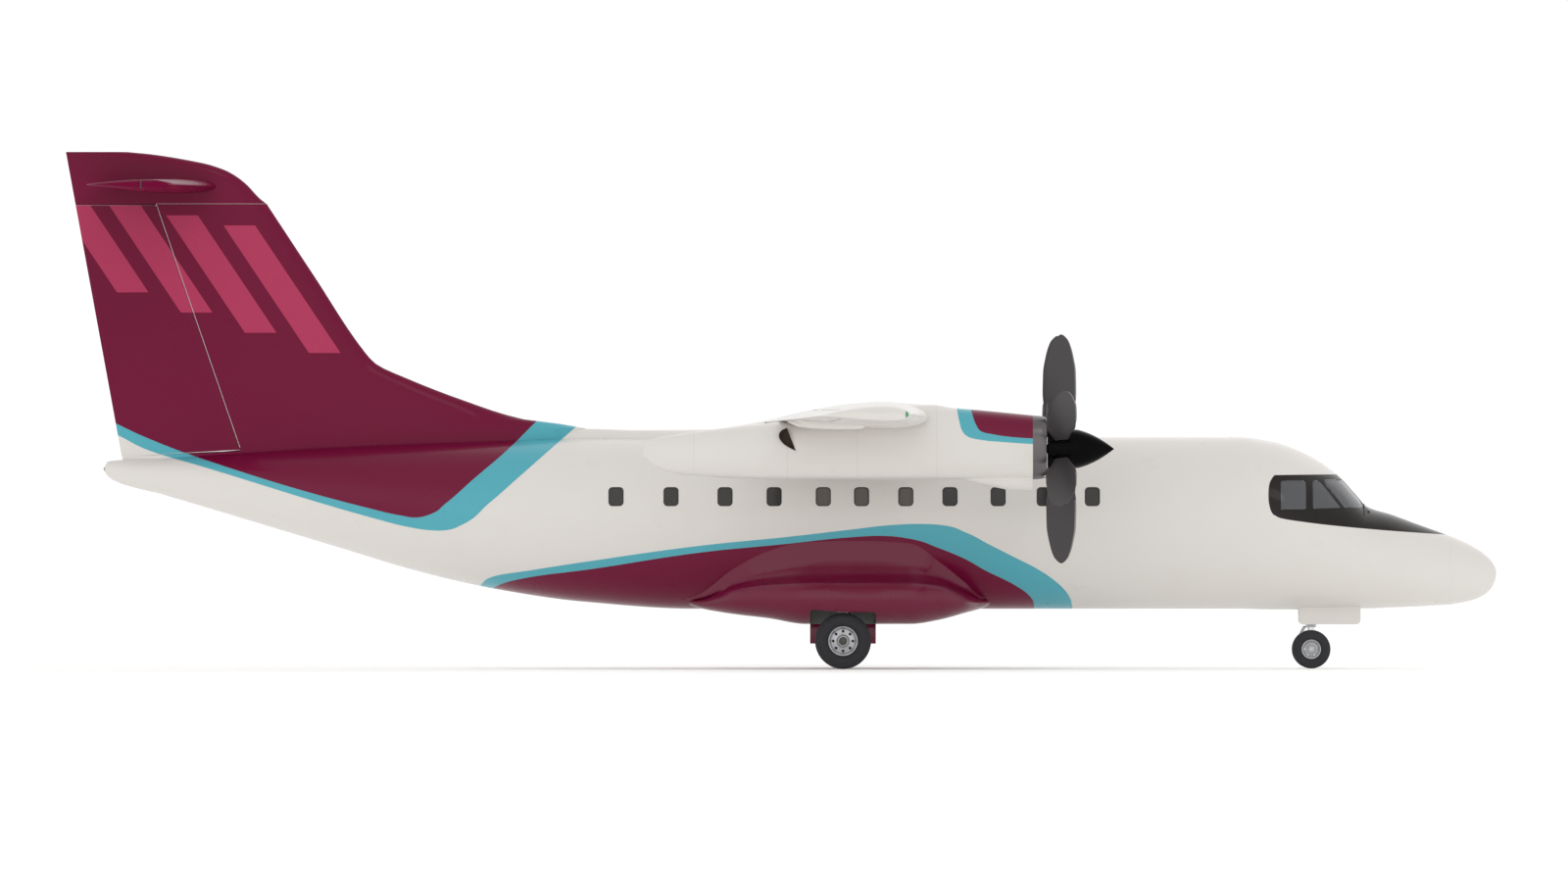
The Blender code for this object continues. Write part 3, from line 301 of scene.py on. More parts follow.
def keep(bm, name, materials, body=airframe, replaced=(), sharp=35):
    mesh = bpy.data.meshes.new(name)
    bm.to_mesh(mesh)
    bm.free()
    piece = bpy.data.objects.new(name, mesh)
    bpy.context.scene.collection.objects.link(piece)
    for material in materials if isinstance(materials, (list, tuple)) else [materials]:
        mesh.materials.append(material)
    mesh.shade_smooth()
    mesh.set_sharp_from_angle(angle=math.radians(sharp))
    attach(piece, body)
    if replaced:
        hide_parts(*replaced)
    return piece


# Paints and other finishes

paintColours = {
    "white": "#DCD8D3",
    "burgundy": "#6D0A33",
    "teal": "#55A9B7",
    "pink": "#AD375A",
    "black": "#1F1B19",
}

# The livery is drawn in side view, as heights Z over places X along the aircraft.
tailBandTop = (
    (-11.4, 4.32), (-10.9, 4.07), (-10.48, 3.854), (-10.05, 3.655), (-9.12, 3.305), (-6.32, 2.49),
    (-6.01, 2.425), (-5.78, 2.394), (-5.54, 2.448), (-5.31, 2.611), (-4.85, 3.015), (-4.38, 3.419),
    (-3.91, 3.885), (-3.0, 4.8),
)
tailBandFoot = (
    (-11.4, 4.13), (-10.9, 3.89), (-10.48, 3.683), (-10.05, 3.468), (-9.12, 3.186), (-6.32, 2.348),
    (-5.9, 2.245), (-5.54, 2.192), (-5.31, 2.192), (-5.08, 2.262), (-4.61, 2.627), (-4.15, 3.031),
    (-3.45, 3.652), (-3.0, 4.05),
)
bellyBandTop = (
    (-5.1, 0.9), (-4.78, 1.3), (-4.55, 1.462), (-3.99, 1.556), (-3.06, 1.7), (-1.2, 1.959), (0.05, 2.084),
    (1.13, 2.208), (1.75, 2.277), (2.27, 2.294), (2.59, 2.269), (2.905, 2.166), (3.3, 1.965), (3.7, 1.762),
    (4.015, 1.604), (4.292, 1.425), (4.49, 1.247), (4.589, 1.088), (4.63, 0.9),
)
bellyBandFoot = (
    (-5.1, 0.8), (-4.72, 1.1), (-4.45, 1.33), (-3.99, 1.447), (-3.06, 1.571), (-1.2, 1.851), (0.05, 1.975),
    (1.13, 2.085), (1.62, 2.105), (2.06, 2.055), (2.47, 1.921), (2.904, 1.742), (3.222, 1.563),
    (3.698, 1.325), (3.955, 1.129), (4.03, 0.85),
)
cowlBandTop = (
    (2.5, 4.6), (2.92, 4.3), (3.0, 4.056), (3.07, 3.854), (3.15, 3.755), (3.31, 3.714), (3.62, 3.668),
    (4.2, 3.64),
)
cowlBandFoot = (
    (2.5, 4.6), (2.74, 4.2), (2.8, 3.93), (2.86, 3.745), (2.94, 3.672), (3.15, 3.621), (3.46, 3.59),
    (4.2, 3.545),
)
glareTop = ((7.5, 3.06), (8.6, 3.075), (10.8, 3.085))
glareFoot = (
    (7.5, 2.52), (7.78, 2.44), (7.9, 2.385), (8.29, 2.321), (8.79, 2.262), (9.48, 2.198), (10.08, 2.153),
    (10.8, 2.105),
)
glareBack = (
    (2.38, 7.86), (2.45, 7.775), (2.55, 7.728), (2.72, 7.706), (2.9, 7.717), (3.0, 7.755), (3.08, 7.83),
)


def heightOver(tree, at, line):
    # value of a drawn line at the place that comes in
    lowAt, highAt = line[0][0], line[-1][0]
    low = min(value for _, value in line)
    high = max(value for _, value in line)
    share = addNode(tree, "ShaderNodeMapRange", {}, {
        "Value": at, "From Min": lowAt, "From Max": highAt, "To Min": 0.0, "To Max": 1.0,
    }).outputs["Result"]
    drawn = addNode(tree, "ShaderNodeFloatCurve", {}, {"Value": share})
    curve = drawn.mapping.curves[0]
    places = [((x - lowAt) / (highAt - lowAt), (value - low) / (high - low)) for x, value in line]
    curve.points[0].location = places[0]
    curve.points[1].location = places[-1]
    for place in places[1:-1]:
        curve.points.new(*place)
    drawn.mapping.use_clip = False
    drawn.mapping.update()
    return addNode(tree, "ShaderNodeMapRange", {"clamp": False}, {
        "Value": drawn.outputs["Value"], "From Min": 0.0, "From Max": 1.0, "To Min": low, "To Max": high,
    }).outputs["Result"]


def above(tree, value, limit):
    return addNode(tree, "ShaderNodeMath", {"operation": "GREATER_THAN"}, {0: value, 1: limit}).outputs[0]


def product(tree, *factors):
    result = factors[0]
    for factor in factors[1:]:
        result = addNode(tree, "ShaderNodeMath", {"operation": "MULTIPLY"}, {0: result, 1: factor}).outputs[0]
    return result


def anyOf(tree, masks):
    # 1 where at least one of the masks is
    result = masks[0]
    for mask in masks[1:]:
        result = addNode(tree, "ShaderNodeMath", {"operation": "MAXIMUM"}, {0: result, 1: mask}).outputs[0]
    return result


def between(tree, value, low, high):
    return product(tree, above(tree, value, low), above(tree, high, value))


def painted(tree, base, mask, colour):
    # the colour goes over the base where the mask is 1
    mix = addNode(tree, "ShaderNodeMix", {"data_type": "RGBA"}, {0: mask, 6: base, 7: rgb(colour)})
    return mix.outputs[2]


def clearCoat(tree, shader):
    # the gloss of sprayed polyurethane, a little duller in drifts where it has been wiped less
    place = objectPlace(tree)
    grime = addNode(tree, "ShaderNodeTexNoise", {}, {"Vector": place, "Scale": 1.7, "Detail": 6.0})
    dull = addNode(tree, "ShaderNodeMapRange", {}, {
        "Value": grime.outputs["Fac"], "From Min": 0.3, "From Max": 0.7, "To Min": 0.27, "To Max": 0.31,
    })
    tree.links.new(dull.outputs["Result"], shader.inputs["Roughness"])


finBars = {
    "lean": 0.67,  # the bars lean as the leading edge does, in metres aft for each metre up
    "foot": 5.06,
    "rows": (
        # back and front at the foot's height, low and high end
        (-7.52, -7.02, 5.0, 7.02),
        (-8.32, -7.82, 5.32, 7.18),
        (-9.12, -8.62, 5.64, 7.34),
        (-9.92, -9.42, 5.96, 7.34),
    ),
}
liveryBands = {
    # the stretch of the aircraft each runs on, and its two lines: the blue-green starts at the first
    # and the red over it at the second
    "tail": ((-99.0, -3.0), tailBandFoot, tailBandTop),
    "belly": ((-5.1, 4.7), bellyBandTop, bellyBandFoot),
    "cowl": ((2.6, 99.0), cowlBandFoot, cowlBandTop),
}
panelJoint = {"width": 0.005, "strength": 0.3, "colour": "#8F8C89"}


def barMask(tree, x, z):
    # plain bars that lean with the fin, each a step higher than the one ahead
    rise = addNode(tree, "ShaderNodeMath", {"operation": "SUBTRACT"}, {0: z, 1: finBars["foot"]}).outputs[0]
    lean = product(tree, rise, finBars["lean"])
    square = addNode(tree, "ShaderNodeMath", {"operation": "ADD"}, {0: x, 1: lean}).outputs[0]
    return anyOf(tree, [
        product(tree, between(tree, square, back, front), between(tree, z, low, high))
        for back, front, low, high in finBars["rows"]
    ])


def aircraftPaint(name, zones=(), joints=(), coat=0.15, shine=0.15):
    # polyurethane aircraft paint over aluminium; zones name what is drawn on this piece
    sockets = {"Coat_Weight": coat, "Coat_Roughness": 0.06, "Specular_IOR_Level": shine}
    material, tree, shader = startMaterial(name, paintColours["white"], 0.28, IOR=1.5, **sockets)
    place = objectPlace(tree)
    axes = addNode(tree, "ShaderNodeSeparateXYZ", {}, {"Vector": place}).outputs
    x, z = axes["X"], axes["Z"]
    speckle = addNode(tree, "ShaderNodeTexNoise", {}, {"Vector": place, "Scale": 2.3, "Detail": 4.0})
    colour = painted(tree, rgb("#DBD7D2"), speckle.outputs["Fac"], "#DDD9D4")
    for zone in zones:
        if zone in liveryBands:
            ends, *lines = liveryBands[zone]
            inside = between(tree, x, *ends)
            for line, shade in zip(lines, ("teal", "burgundy")):
                height = heightOver(tree, x, line)
                # the belly's red hangs below its line, the others' stands above
                over = above(tree, height, z) if zone == "belly" else above(tree, z, height)
                colour = painted(tree, colour, product(tree, inside, over), paintColours[shade])
    if "glare" in zones:
        mask = product(
            tree,
            above(tree, z, heightOver(tree, x, glareFoot)),
            above(tree, heightOver(tree, x, glareTop), z),
            above(tree, x, heightOver(tree, z, glareBack)),
            above(tree, z, 2.0),
        )
        colour = painted(tree, colour, mask, paintColours["black"])
    if "bars" in zones:
        colour = painted(tree, colour, barMask(tree, x, z), paintColours["pink"])
    if joints:
        half = panelJoint["width"] / 2
        lines = anyOf(tree, [between(tree, x, at - half, at + half) for at in joints])
        colour = painted(tree, colour, product(tree, lines, panelJoint["strength"]), panelJoint["colour"])
    tree.links.new(colour, shader.inputs["Base Color"])
    clearCoat(tree, shader)
    return material


def plainFinish(name, colour, roughness, grainSize, grainStrength, **sockets):
    # a single coloured finish with a fine grain and uneven gloss, grain size in metres
    material, tree, shader = startMaterial(name, colour, roughness, **sockets)
    grain = addNode(tree, "ShaderNodeTexNoise", {}, {
        "Vector": objectPlace(tree), "Scale": 1 / grainSize, "Detail": 4.0,
    })
    bump = addNode(tree, "ShaderNodeBump", {}, {
        "Height": grain.outputs["Fac"], "Strength": grainStrength, "Distance": grainSize,
    })
    tree.links.new(bump.outputs["Normal"], shader.inputs["Normal"])
    gloss = addNode(tree, "ShaderNodeMapRange", {}, {
        "Value": grain.outputs["Fac"], "From Min": 0.3, "From Max": 0.7,
        "To Min": roughness * 0.85, "To Max": min(1.0, roughness * 1.2),
    })
    tree.links.new(gloss.outputs["Result"], shader.inputs["Roughness"])
    return material


hullPaint = aircraftPaint("painted_aluminium_hull", ("tail", "belly", "glare"))
tailPaint = aircraftPaint("painted_composite_tail", ("tail", "bars"), coat=0.08, shine=0.1)
tailplanePaint = aircraftPaint("painted_aluminium_tailplane", ("tail",), coat=0.0, shine=0.03)
wingRootPaint = aircraftPaint("painted_composite_wing_root", ("tail",))
# pale primer inside the wing's coves and the wheel wells, dulled by use
covePrimer = plainFinish("cove_primer", "#A9A8A4", 0.6, 0.006, 0.05)
wellPrimer = plainFinish("wheel_well_primer", "#7E837F", 0.65, 0.006, 0.08)
wingPaint = aircraftPaint("painted_aluminium_wing")
cowlPaint = aircraftPaint("painted_cowling", ("cowl",), joints=(-1.37, 0.1, 1.2, 2.45))
podPaint = aircraftPaint("painted_gear_fairing", ("belly",), coat=0.4, shine=0.2)
# the cut edges of the skin, the cabin lining and the door's inside: a warm light grey moulding
liningPlastic = plainFinish("moulded_cabin_lining", "#CFCBC4", 0.5, 0.004, 0.05)
# rubber floor covering with a fine pebble
floorRubber = plainFinish("floor_covering", "#4A4B4E", 0.75, 0.006, 0.3)
# stretched acrylic, seen dark because the cabin behind it is unlit
cabinAcrylic = plainFinish("cabin_window_acrylic", "#2A2725", 0.14, 0.05, 0.01, IOR=1.49, Coat_Weight=0.1)
# the same pane with its sun shade drawn
shadedAcrylic = plainFinish("shaded_cabin_window", "#605B56", 0.16, 0.05, 0.01, IOR=1.49, Coat_Weight=0.1)
sealRubber = plainFinish("window_seal_rubber", "#2A2928", 0.6, 0.004, 0.2)
# silicone seal that has kept its pale grey
paleSeal = plainFinish("pale_silicone_seal", "#C9C6C4", 0.5, 0.004, 0.05)
blackEnamel = plainFinish("matt_black_enamel", "#2B2724", 0.42, 0.006, 0.05)
# laminated glass with a grey heating film
heatedGlass = {"IOR": 1.52, "Transmission_Weight": 0.55, "Specular_IOR_Level": 0.25}
windshieldGlass = startMaterial("laminated_windshield", "#727377", 0.1, **heatedGlass)[0]
spinnerGloss = plainFinish("spinner_black_gloss", "#050404", 0.2, 0.05, 0.0, Specular_IOR_Level=0.05)
# carbon composite blades under satin erosion paint
bladeComposite = plainFinish("blade_composite", "#3B3739", 0.45, 0.006, 0.03)
# nickel sheath on each blade's leading edge
bladeSheath = plainFinish("blade_nickel_sheath", "#8C8786", 0.32, 0.006, 0.03, Metallic=1.0)
# heated intake lip, dark anodised and polished
lipMetal = plainFinish("anodised_intake_lip", "#6A6668", 0.3, 0.02, 0.02, Metallic=0.9)
# stainless exhaust, browned by heat
exhaustSteel = plainFinish("heat_stained_steel", "#4E443C", 0.45, 0.02, 0.1, Metallic=1.0)
# near black painted shade: it colours the insides of the intake, the air slots and the engine's bore, where
# only shade falls
intakeShadeBlack = plainFinish("painted_intake_shade", "#0A0909", 0.9, 0.01, 0.1)
engineMetal = plainFinish("cast_engine_case", "#7A7772", 0.5, 0.006, 0.2, Metallic=0.8)
tyreRubber = plainFinish("tyre_rubber", "#26262A", 0.78, 0.003, 0.25)
wheelMetal = plainFinish("forged_wheel_aluminium", "#B9BABD", 0.36, 0.004, 0.06, Metallic=0.85)
gearEnamel = plainFinish("gear_enamel", "#D5D8DA", 0.38, 0.006, 0.04)
chromeSteel = plainFinish("hard_chrome", "#D9DADC", 0.1, 0.02, 0.01, Metallic=1.0)
steelDark = plainFinish("phosphated_steel", "#54524F", 0.45, 0.004, 0.08, Metallic=0.9)
brakeCarbon = plainFinish("carbon_brake_discs", "#2C2B2B", 0.7, 0.002, 0.2)
hoseRubber = plainFinish("hydraulic_hose", "#1C1C1E", 0.6, 0.002, 0.1)
bareAluminium = plainFinish("bare_aluminium", "#C4C6C9", 0.3, 0.01, 0.04, Metallic=1.0)
seatFabric = plainFinish("woven_seat_cover", "#3C4250", 0.9, 0.002, 0.5)
panelPlastic = plainFinish("textured_panel_plastic", "#3A3C3E", 0.6, 0.002, 0.2)
screenGlass = plainFinish("display_glass", "#101418", 0.12, 0.05, 0.0, Coat_Weight=0.5)
# moulded lenses: dyed acrylic on the wing tips, clear glass elsewhere
redLens = startMaterial("red_lens", "#C21A16", 0.08, IOR=1.49, Coat_Weight=0.5)[0]
greenLens = startMaterial("green_lens", "#0F8F4A", 0.08, IOR=1.49, Coat_Weight=0.5)[0]
clearLens = startMaterial("clear_lens", "#E8ECEE", 0.05, IOR=1.52, Transmission_Weight=0.8)[0]
print("finishes made")


# Fuselage

hull = {
    "rows": (
        # x, top, bottom, half width, height where widest, power of the upper half
        (-9.89, 3.33, 2.782, 0.27, 3.06, 2.0),
        (-8.49, 3.434, 2.363, 0.53, 2.9, 2.0),
        (-7.1, 3.528, 1.944, 0.79, 2.74, 2.0),
        (-5.7, 3.59, 1.525, 1.03, 2.56, 2.0),
        (-4.53, 3.621, 1.261, 1.18, 2.44, 2.0),
        (-3.14, 3.655, 1.059, 1.3, 2.36, 2.0),
        (-1.35, 3.667, 0.945, 1.3585, 2.3085, 2.0),
        (7.25, 3.667, 0.945, 1.3585, 2.3085, 2.0),
        (7.81, 3.59, 0.934, 1.335, 2.27, 1.95),
        (8.18, 3.466, 0.934, 1.29, 2.19, 1.85),
        (8.56, 3.264, 0.934, 1.22, 2.06, 1.7),
        (8.84, 3.046, 0.942, 1.16, 1.94, 1.65),
        (9.11, 2.751, 0.95, 1.1, 1.84, 1.7),
        (9.3, 2.557, 0.952, 1.05, 1.78, 1.85),
        (9.67, 2.441, 0.966, 0.95, 1.7, 2.0),
        (10.05, 2.301, 0.981, 0.83, 1.63, 2.0),
        (10.61, 2.099, 1.012, 0.6, 1.56, 2.0),
    ),
    # both ends close in a round cap, whose rows run with the square root of the way from the tip
    "noseTip": 11.335,
    "noseRows": (
        (0.0, 1.515, 1.515, 0.0, 1.515, 2.0),
        (0.4315, 1.77, 1.21, 0.245, 1.52, 2.0),
        (0.7, 1.928, 1.09, 0.41, 1.52, 2.0),
        (1.0, 2.099, 1.012, 0.6, 1.56, 2.0),
    ),
    "tailTip": -10.72,
    "tailRows": (
        (0.0, 3.16, 3.16, 0.0, 3.16, 2.0),
        (0.269, 3.285, 3.035, 0.12, 3.16, 2.0),
        (1.0, 3.33, 2.782, 0.27, 3.06, 2.0),
    ),
    "around": 112,
    "joints": (5.3, 10.61),
    "roomBack": 5.6,
    "roomFront": 9.3,
    "wall": 0.09,
    "floor": 1.55,
}


def hullRow(x):
    rows = hull["rows"]
    for cap, end in (("nose", rows[-1][0]), ("tail", rows[0][0])):
        tip = hull[f"{cap}Tip"]
        share = (x - tip) / (end - tip)
        if share < 1:
            return rowAt(hull[f"{cap}Rows"], math.sqrt(max(0.0, share)))
    return rowAt(rows, x)


def hullPoint(x, turn, grow=0.0):
    _, top, bottom, half, widest, power = hullRow(x)
    angle = math.tau * turn - math.pi / 2
    across, up, height = math.cos(angle), math.sin(angle), widest - bottom
    if up > 0:
        across, up, height = bent(across, power), bent(up, power), top - widest
    return Vector((x, across * (half + grow), widest + up * (height + grow)))


def hullSkin(values, grow=0.0):
    return gridSkin(values, hull["around"], lambda x, turn: hullPoint(x, turn, grow))


def hullWidthAt(x, z):
    # half width of the skin at a height
    _, top, bottom, half, widest, power = hullRow(x)
    if z > widest:
        share = min(1.0, (z - widest) / (top - widest))
        return half * (1 - share ** power) ** (1 / power)
    share = min(1.0, (widest - z) / (widest - bottom))
    return half * math.sqrt(1 - share * share)


cabinWindows = {
    "centres": (-2.609, -1.739, -0.885, -0.109, 0.668, 1.273, 1.972, 2.671, 3.432, 4.161, 4.922),
    "shaded": (0.668, 1.273, 1.972),  # windows with the shade drawn
    "height": 2.728,
    "half": (0.1205, 0.159),
    "corner": 0.066,
    "depth": 0.026,
    "frame": 0.013,
    "sink": 0.008,
}


def windowOutline(inset=0.0):
    wide, tall = (size - inset for size in cabinWindows["half"])
    return rectangle((-wide, wide), (-tall, tall))


def windowSeat(x, side):
    # turns a window that faces along Y at the fuselage's centre line so that it looks out square
    row = hullRow(x)
    lift = math.asin((cabinWindows["height"] - row[4]) / row[3])
    turn = Matrix.Rotation(side * lift, 4, "X")
    return row[3] - cabinWindows["depth"], Matrix.Translation((x, 0, row[4])) @ turn


def windowPocket(x, side):
    floor, seat = windowSeat(x, side)
    return moved(plate(windowOutline(), side * floor, side * (floor + 0.12), cabinWindows["corner"]), seat)


def windowPane(low, high, tint):
    # a slab with a raised frame round its outer face; the pane inside the frame has the tint's material
    bm = plate(windowOutline(0.001), low, high, cabinWindows["corner"])
    pane = max(bm.faces, key=lambda face: face.calc_center_median().y * (high - low))
    bmesh.ops.inset_region(bm, faces=[pane], thickness=cabinWindows["frame"], depth=0.0)
    bmesh.ops.inset_region(bm, faces=[pane], thickness=0.002, depth=-cabinWindows["sink"])
    pane.material_index = tint
    return bm


def buildCabinWindows():
    for name, side in sides:
        panes = []
        for x in cabinWindows["centres"]:
            floor, seat = windowSeat(x, side)
            tint = 2 if x in cabinWindows["shaded"] else 1
            panes.append(moved(windowPane(side * (floor - 0.004), side * (floor + 0.014), tint), seat))
        keep(merged(panes), f"cabin_windows_{name}", [sealRubber, cabinAcrylic, shadedAcrylic], sharp=25)


def buildBarrel():
    skin = hullSkin(fromTip(hull["tailTip"], 0.3, 0.09, hull["joints"][0], 168))
    pockets = [windowPocket(x, side) for _, side in sides for x in cabinWindows["centres"]]
    barrel = carved(skin, [tinted(merged(pockets), 1)])
    keep(barrel, "fuselage_barrel", [hullPaint, blackEnamel], replaced=("aft_fuselage", "centre_fuselage"))


glazing = {
    "panes": (
        # name, inner y, outline in side view
        ("windshield", 0.05, ((8.58, 2.99), (8.91, 2.55), (9.24, 2.55), (9.0, 2.99))),
        ("front_side_window", 0.3, ((8.41, 2.98), (8.53, 2.98), (8.87, 2.545), (8.41, 2.53))),
        ("rear_side_window", 0.3, ((7.9, 2.98), (8.31, 2.98), (8.31, 2.52), (7.9, 2.52))),
    ),
    "corner": 0.035,
    "outer": 0.008,
    "inner": 0.03,
    "reach": 1.6,  # across, past the skin
    "stations": (7.6, 9.5, 60),
}
doorway = {
    "x": (5.86, 6.64),
    "z": (1.6, 3.26),
    "gap": 0.008,
    "sillDrop": 0.032,
    "corner": 0.094,
    "openingCorner": 0.07,  # smaller, so that the door's corner swings past it
    "thick": 0.09,
    "hinge": (1.145, 1.596),  # place across and height
    "cut": (0.7, 1.6),  # across, from the room to past the skin
    "slab": (0.75, 1.55),
    "stations": (5.5, 7.1, 8),
}
stair = {
    "treads": 6,
    "first": 1.8,  # height of the lowest tread while the door is shut
    "pitch": 0.225,
    "half": 0.29,
    "deep": 0.19,
    "thick": 0.022,
    "open": math.radians(130),
    "railAt": 0.32,
    "railEnds": (1.74, 3.06),
    "railRadius": 0.014,
    "handle": 2.56,
}
noseBay = {"x": (8.2, 9.18), "half": 0.29, "roof": 1.45}


def roomShape():
    # the hollow inside the skin, flat at the floor
    floor = hull["floor"]

    def pointAt(x, turn):
        point = hullPoint(x, turn, -hull["wall"])
        point.z = max(point.z, floor)
        return point

    bm = gridSkin(spread(hull["roomBack"], hull["roomFront"], 60), hull["around"], pointAt)
    for face in bm.faces:
        face.material_index = 2 if face.calc_center_median().z < floor + 0.001 else 1
    return bm


def buildForwardFuselage():
    low, high = hull["joints"]
    skin = hullSkin(spread(low + hairGap, high - hairGap, 120))
    (doorLow, doorHigh), (sill, lintel), gap = doorway["x"], doorway["z"], doorway["gap"]
    outline = rectangle((doorLow - gap, doorHigh + gap), (sill - doorway["sillDrop"], lintel + gap))
    tools = [
        roomShape(),
        tinted(plate(outline, *doorway["cut"], doorway["openingCorner"]), 1),
        tinted(box(noseBay["x"], about(0, noseBay["half"]), (0.5, noseBay["roof"])), 3),
    ]
    reach, corner = glazing["reach"], glazing["corner"]
    for _, inner, outline in glazing["panes"]:
        for _, side in sides:
            tools.append(tinted(plate(outline, side * inner, side * reach, corner), 4))
    finishes = [hullPaint, liningPlastic, floorRubber, gearEnamel, blackEnamel]
    keep(carved(skin, tools), "forward_fuselage", finishes, replaced=("entry_section", "cockpit_section"))

    values, gap = spread(*glazing["stations"]), 0.003
    for name, inner, outline in glazing["panes"]:
        for sideName, side in sides:
            pane = plate(drawnIn(outline, gap), side * (inner + gap), side * reach, corner)
            pane = carved(pane, [hullSkin(values, -glazing["outer"])], "INTERSECT")
            pane = carved(pane, [hullSkin(values, -glazing["inner"])])
            replaced = (f"{name}_{sideName}",)
            keep(pane, f"{name}_glass_{sideName}", windshieldGlass, replaced=replaced)

    radome = hullSkin(crowded(hull["joints"][1] + hairGap, hull["noseTip"], 28))
    keep(radome, "nose_radome", hullPaint, replaced=("radome",))


def buildDoor():
    low, high = doorway["x"]
    middle = (low + high) / 2

    def liningAt(z):
        return hullWidthAt(middle, z) - doorway["thick"]

    door = plate(rectangle(doorway["x"], doorway["z"]), *doorway["slab"], doorway["corner"])
    values = spread(*doorway["stations"])
    door = carved(door, [hullSkin(values)], "INTERSECT")
    door = carved(door, [tinted(hullSkin(values, -doorway["thick"]), 1)])
    keep(door, "airstair_door", [hullPaint, liningPlastic], "airstair", ("passenger_door",))

    # the treads lie level when the door is down, so they slope up and inwards while it is shut
    treads, rails = [], []
    for step in range(stair["treads"]):
        z = stair["first"] + stair["pitch"] * step
        tread = box(about(0, stair["half"]), (0, stair["deep"]), about(0, stair["thick"] / 2), 0.005)
        turn = Matrix.Rotation(stair["open"], 4, "X")
        treads.append(moved(tread, Matrix.Translation((middle, liningAt(z) + 0.01, z)) @ turn))
    for x in about(middle, stair["railAt"]):
        path = [(x, liningAt(z) - 0.05, z) for z in spread(*stair["railEnds"], 8)]
        feet = [((x, liningAt(z) + 0.02, z), (x, liningAt(z) - 0.055, z)) for z in stair["railEnds"]]
        for start, end in (*zip(path, path[1:]), *feet):
            rails.append(rod(start, end, stair["railRadius"], steps=12))
    keep(merged(treads), "airstair_treads", floorRubber, "airstair")
    keep(merged(rails), "airstair_rails", bareAluminium, "airstair")
    pin = rod((low - 0.05, *doorway["hinge"]), (high + 0.05, *doorway["hinge"]), 0.012, steps=16)
    keep(pin, "airstair_hinge_pin", steelDark, "airstair")
    y, z = hullWidthAt(middle, 2.55), stair["handle"]
    handle = merged([
        box(about(middle, 0.1), (y - 0.012, y + 0.003), about(z, 0.03), 0.006),
        box(about(middle, 0.075), (y - 0.002, y + 0.006), (z - 0.008, z + 0.01), 0.003),
    ])
    keep(handle, "airstair_door_handle", bareAluminium, "airstair")


buildBarrel()
buildCabinWindows()
buildForwardFuselage()
buildDoor()
print("fuselage built")


# Wing

wing = {
    "half": 12.8,
    "root": (2.469, 2.749),  # leading edge and chord
    "tip": (1.988, 1.429),
    "ratio": 0.172,
    "camber": 0.022,
    "height": 3.928,
    "rise": 0.0058,
    "setting": 0.019,
    "hinge": 0.74,
    "centre": 4.6,
    "points": 30,
    "tipFrom": 12.4,
    "tipEnd": 12.795,
    "noseGap": 0.004,  # between a surface's round nose and the hollow it turns in
    "shroud": 0.34,  # how far ahead of the hinge the fixed skin ends, as a share of the nose's radius
    "endGap": 0.022,
    "surfaces": (
        # name, body, inner end, outer end
        ("flap_inner", "flaps", 1.5, 3.1),
        ("flap_outer", "flaps", 4.76, 8.55),
        ("aileron", "aileron", 8.7, 12.3),
    ),
}


def airfoilHalf(share):
    # half the thickness of a classic section, for a thickness ratio of 1
    tail = share * (-0.126 + share * (-0.3516 + share * (0.2843 - share * 0.1015)))
    return 5 * (0.2969 * math.sqrt(share) + tail)


def airfoilMean(share, camber):
    return camber * 4 * share * (1 - share)


def airfoilEdge(shares, ratio, camber, way, grow=0.0):
    # the lower or upper line of the section at shares of the chord; way is -1 or 1
    return [
        (share, airfoilMean(share, camber) + way * (airfoilHalf(share) * ratio + grow))
        for share in shares
    ]


def airfoilRound(ratio, camber, points, grow=0.0):
    # shares of the chord aft and up, from the lower trailing edge round the nose and back to it
    shares = [(1 - math.cos(angle)) / 2 for angle in spread(0.0, math.pi, points)]
    lower = airfoilEdge(reversed(shares), ratio, camber, -1, grow)
    lower[-1] = (-grow, airfoilMean(0.0, camber))
    return lower + airfoilEdge(shares[1:], ratio, camber, 1, grow) + lower[:1]


def surfaceRound(ratio, camber, hinge, points=14, noseSteps=12):
    # a control surface behind its hinge, with a round nose about it
    radius, middle = airfoilHalf(hinge) * ratio, airfoilMean(hinge, camber)
    shares = spread(1.0, hinge, points)[:-1]
    lower = airfoilEdge(shares, ratio, camber, -1)
    nose = [
        (hinge + radius * math.cos(angle), middle + radius * math.sin(angle))
        for angle in spread(-math.pi / 2, -math.pi * 1.5, noseSteps)
    ]
    return lower + nose + airfoilEdge(reversed(shares), ratio, camber, 1) + lower[:1]


def ringSkin(values, ringAt):
    # a closed skin through one ring of points for each value; a ring repeats its first point last
    rings = {value: ringAt(value) for value in values}
    around = len(rings[values[0]]) - 1
    return gridSkin(values, around, lambda value, turn: Vector(rings[value][round(turn * around)]))


def wingLine(y):
    share = abs(y) / wing["half"]
    nose = wing["root"][0] + (wing["tip"][0] - wing["root"][0]) * share
    chord = wing["root"][1] + (wing["tip"][1] - wing["root"][1]) * share
    return nose, chord, wing["height"] + wing["rise"] * abs(y)


def wingPoint(y, aft, up):
    nose, chord, height = wingLine(y)
    return (nose - aft * chord, y, height + up * chord + (0.5 - aft) * chord * wing["setting"])


def wingRing(y, grow=0.0):
    section = airfoilRound(wing["ratio"], wing["camber"], wing["points"], grow / wingLine(y)[1])
    return [wingPoint(y, aft, up) for aft, up in section]


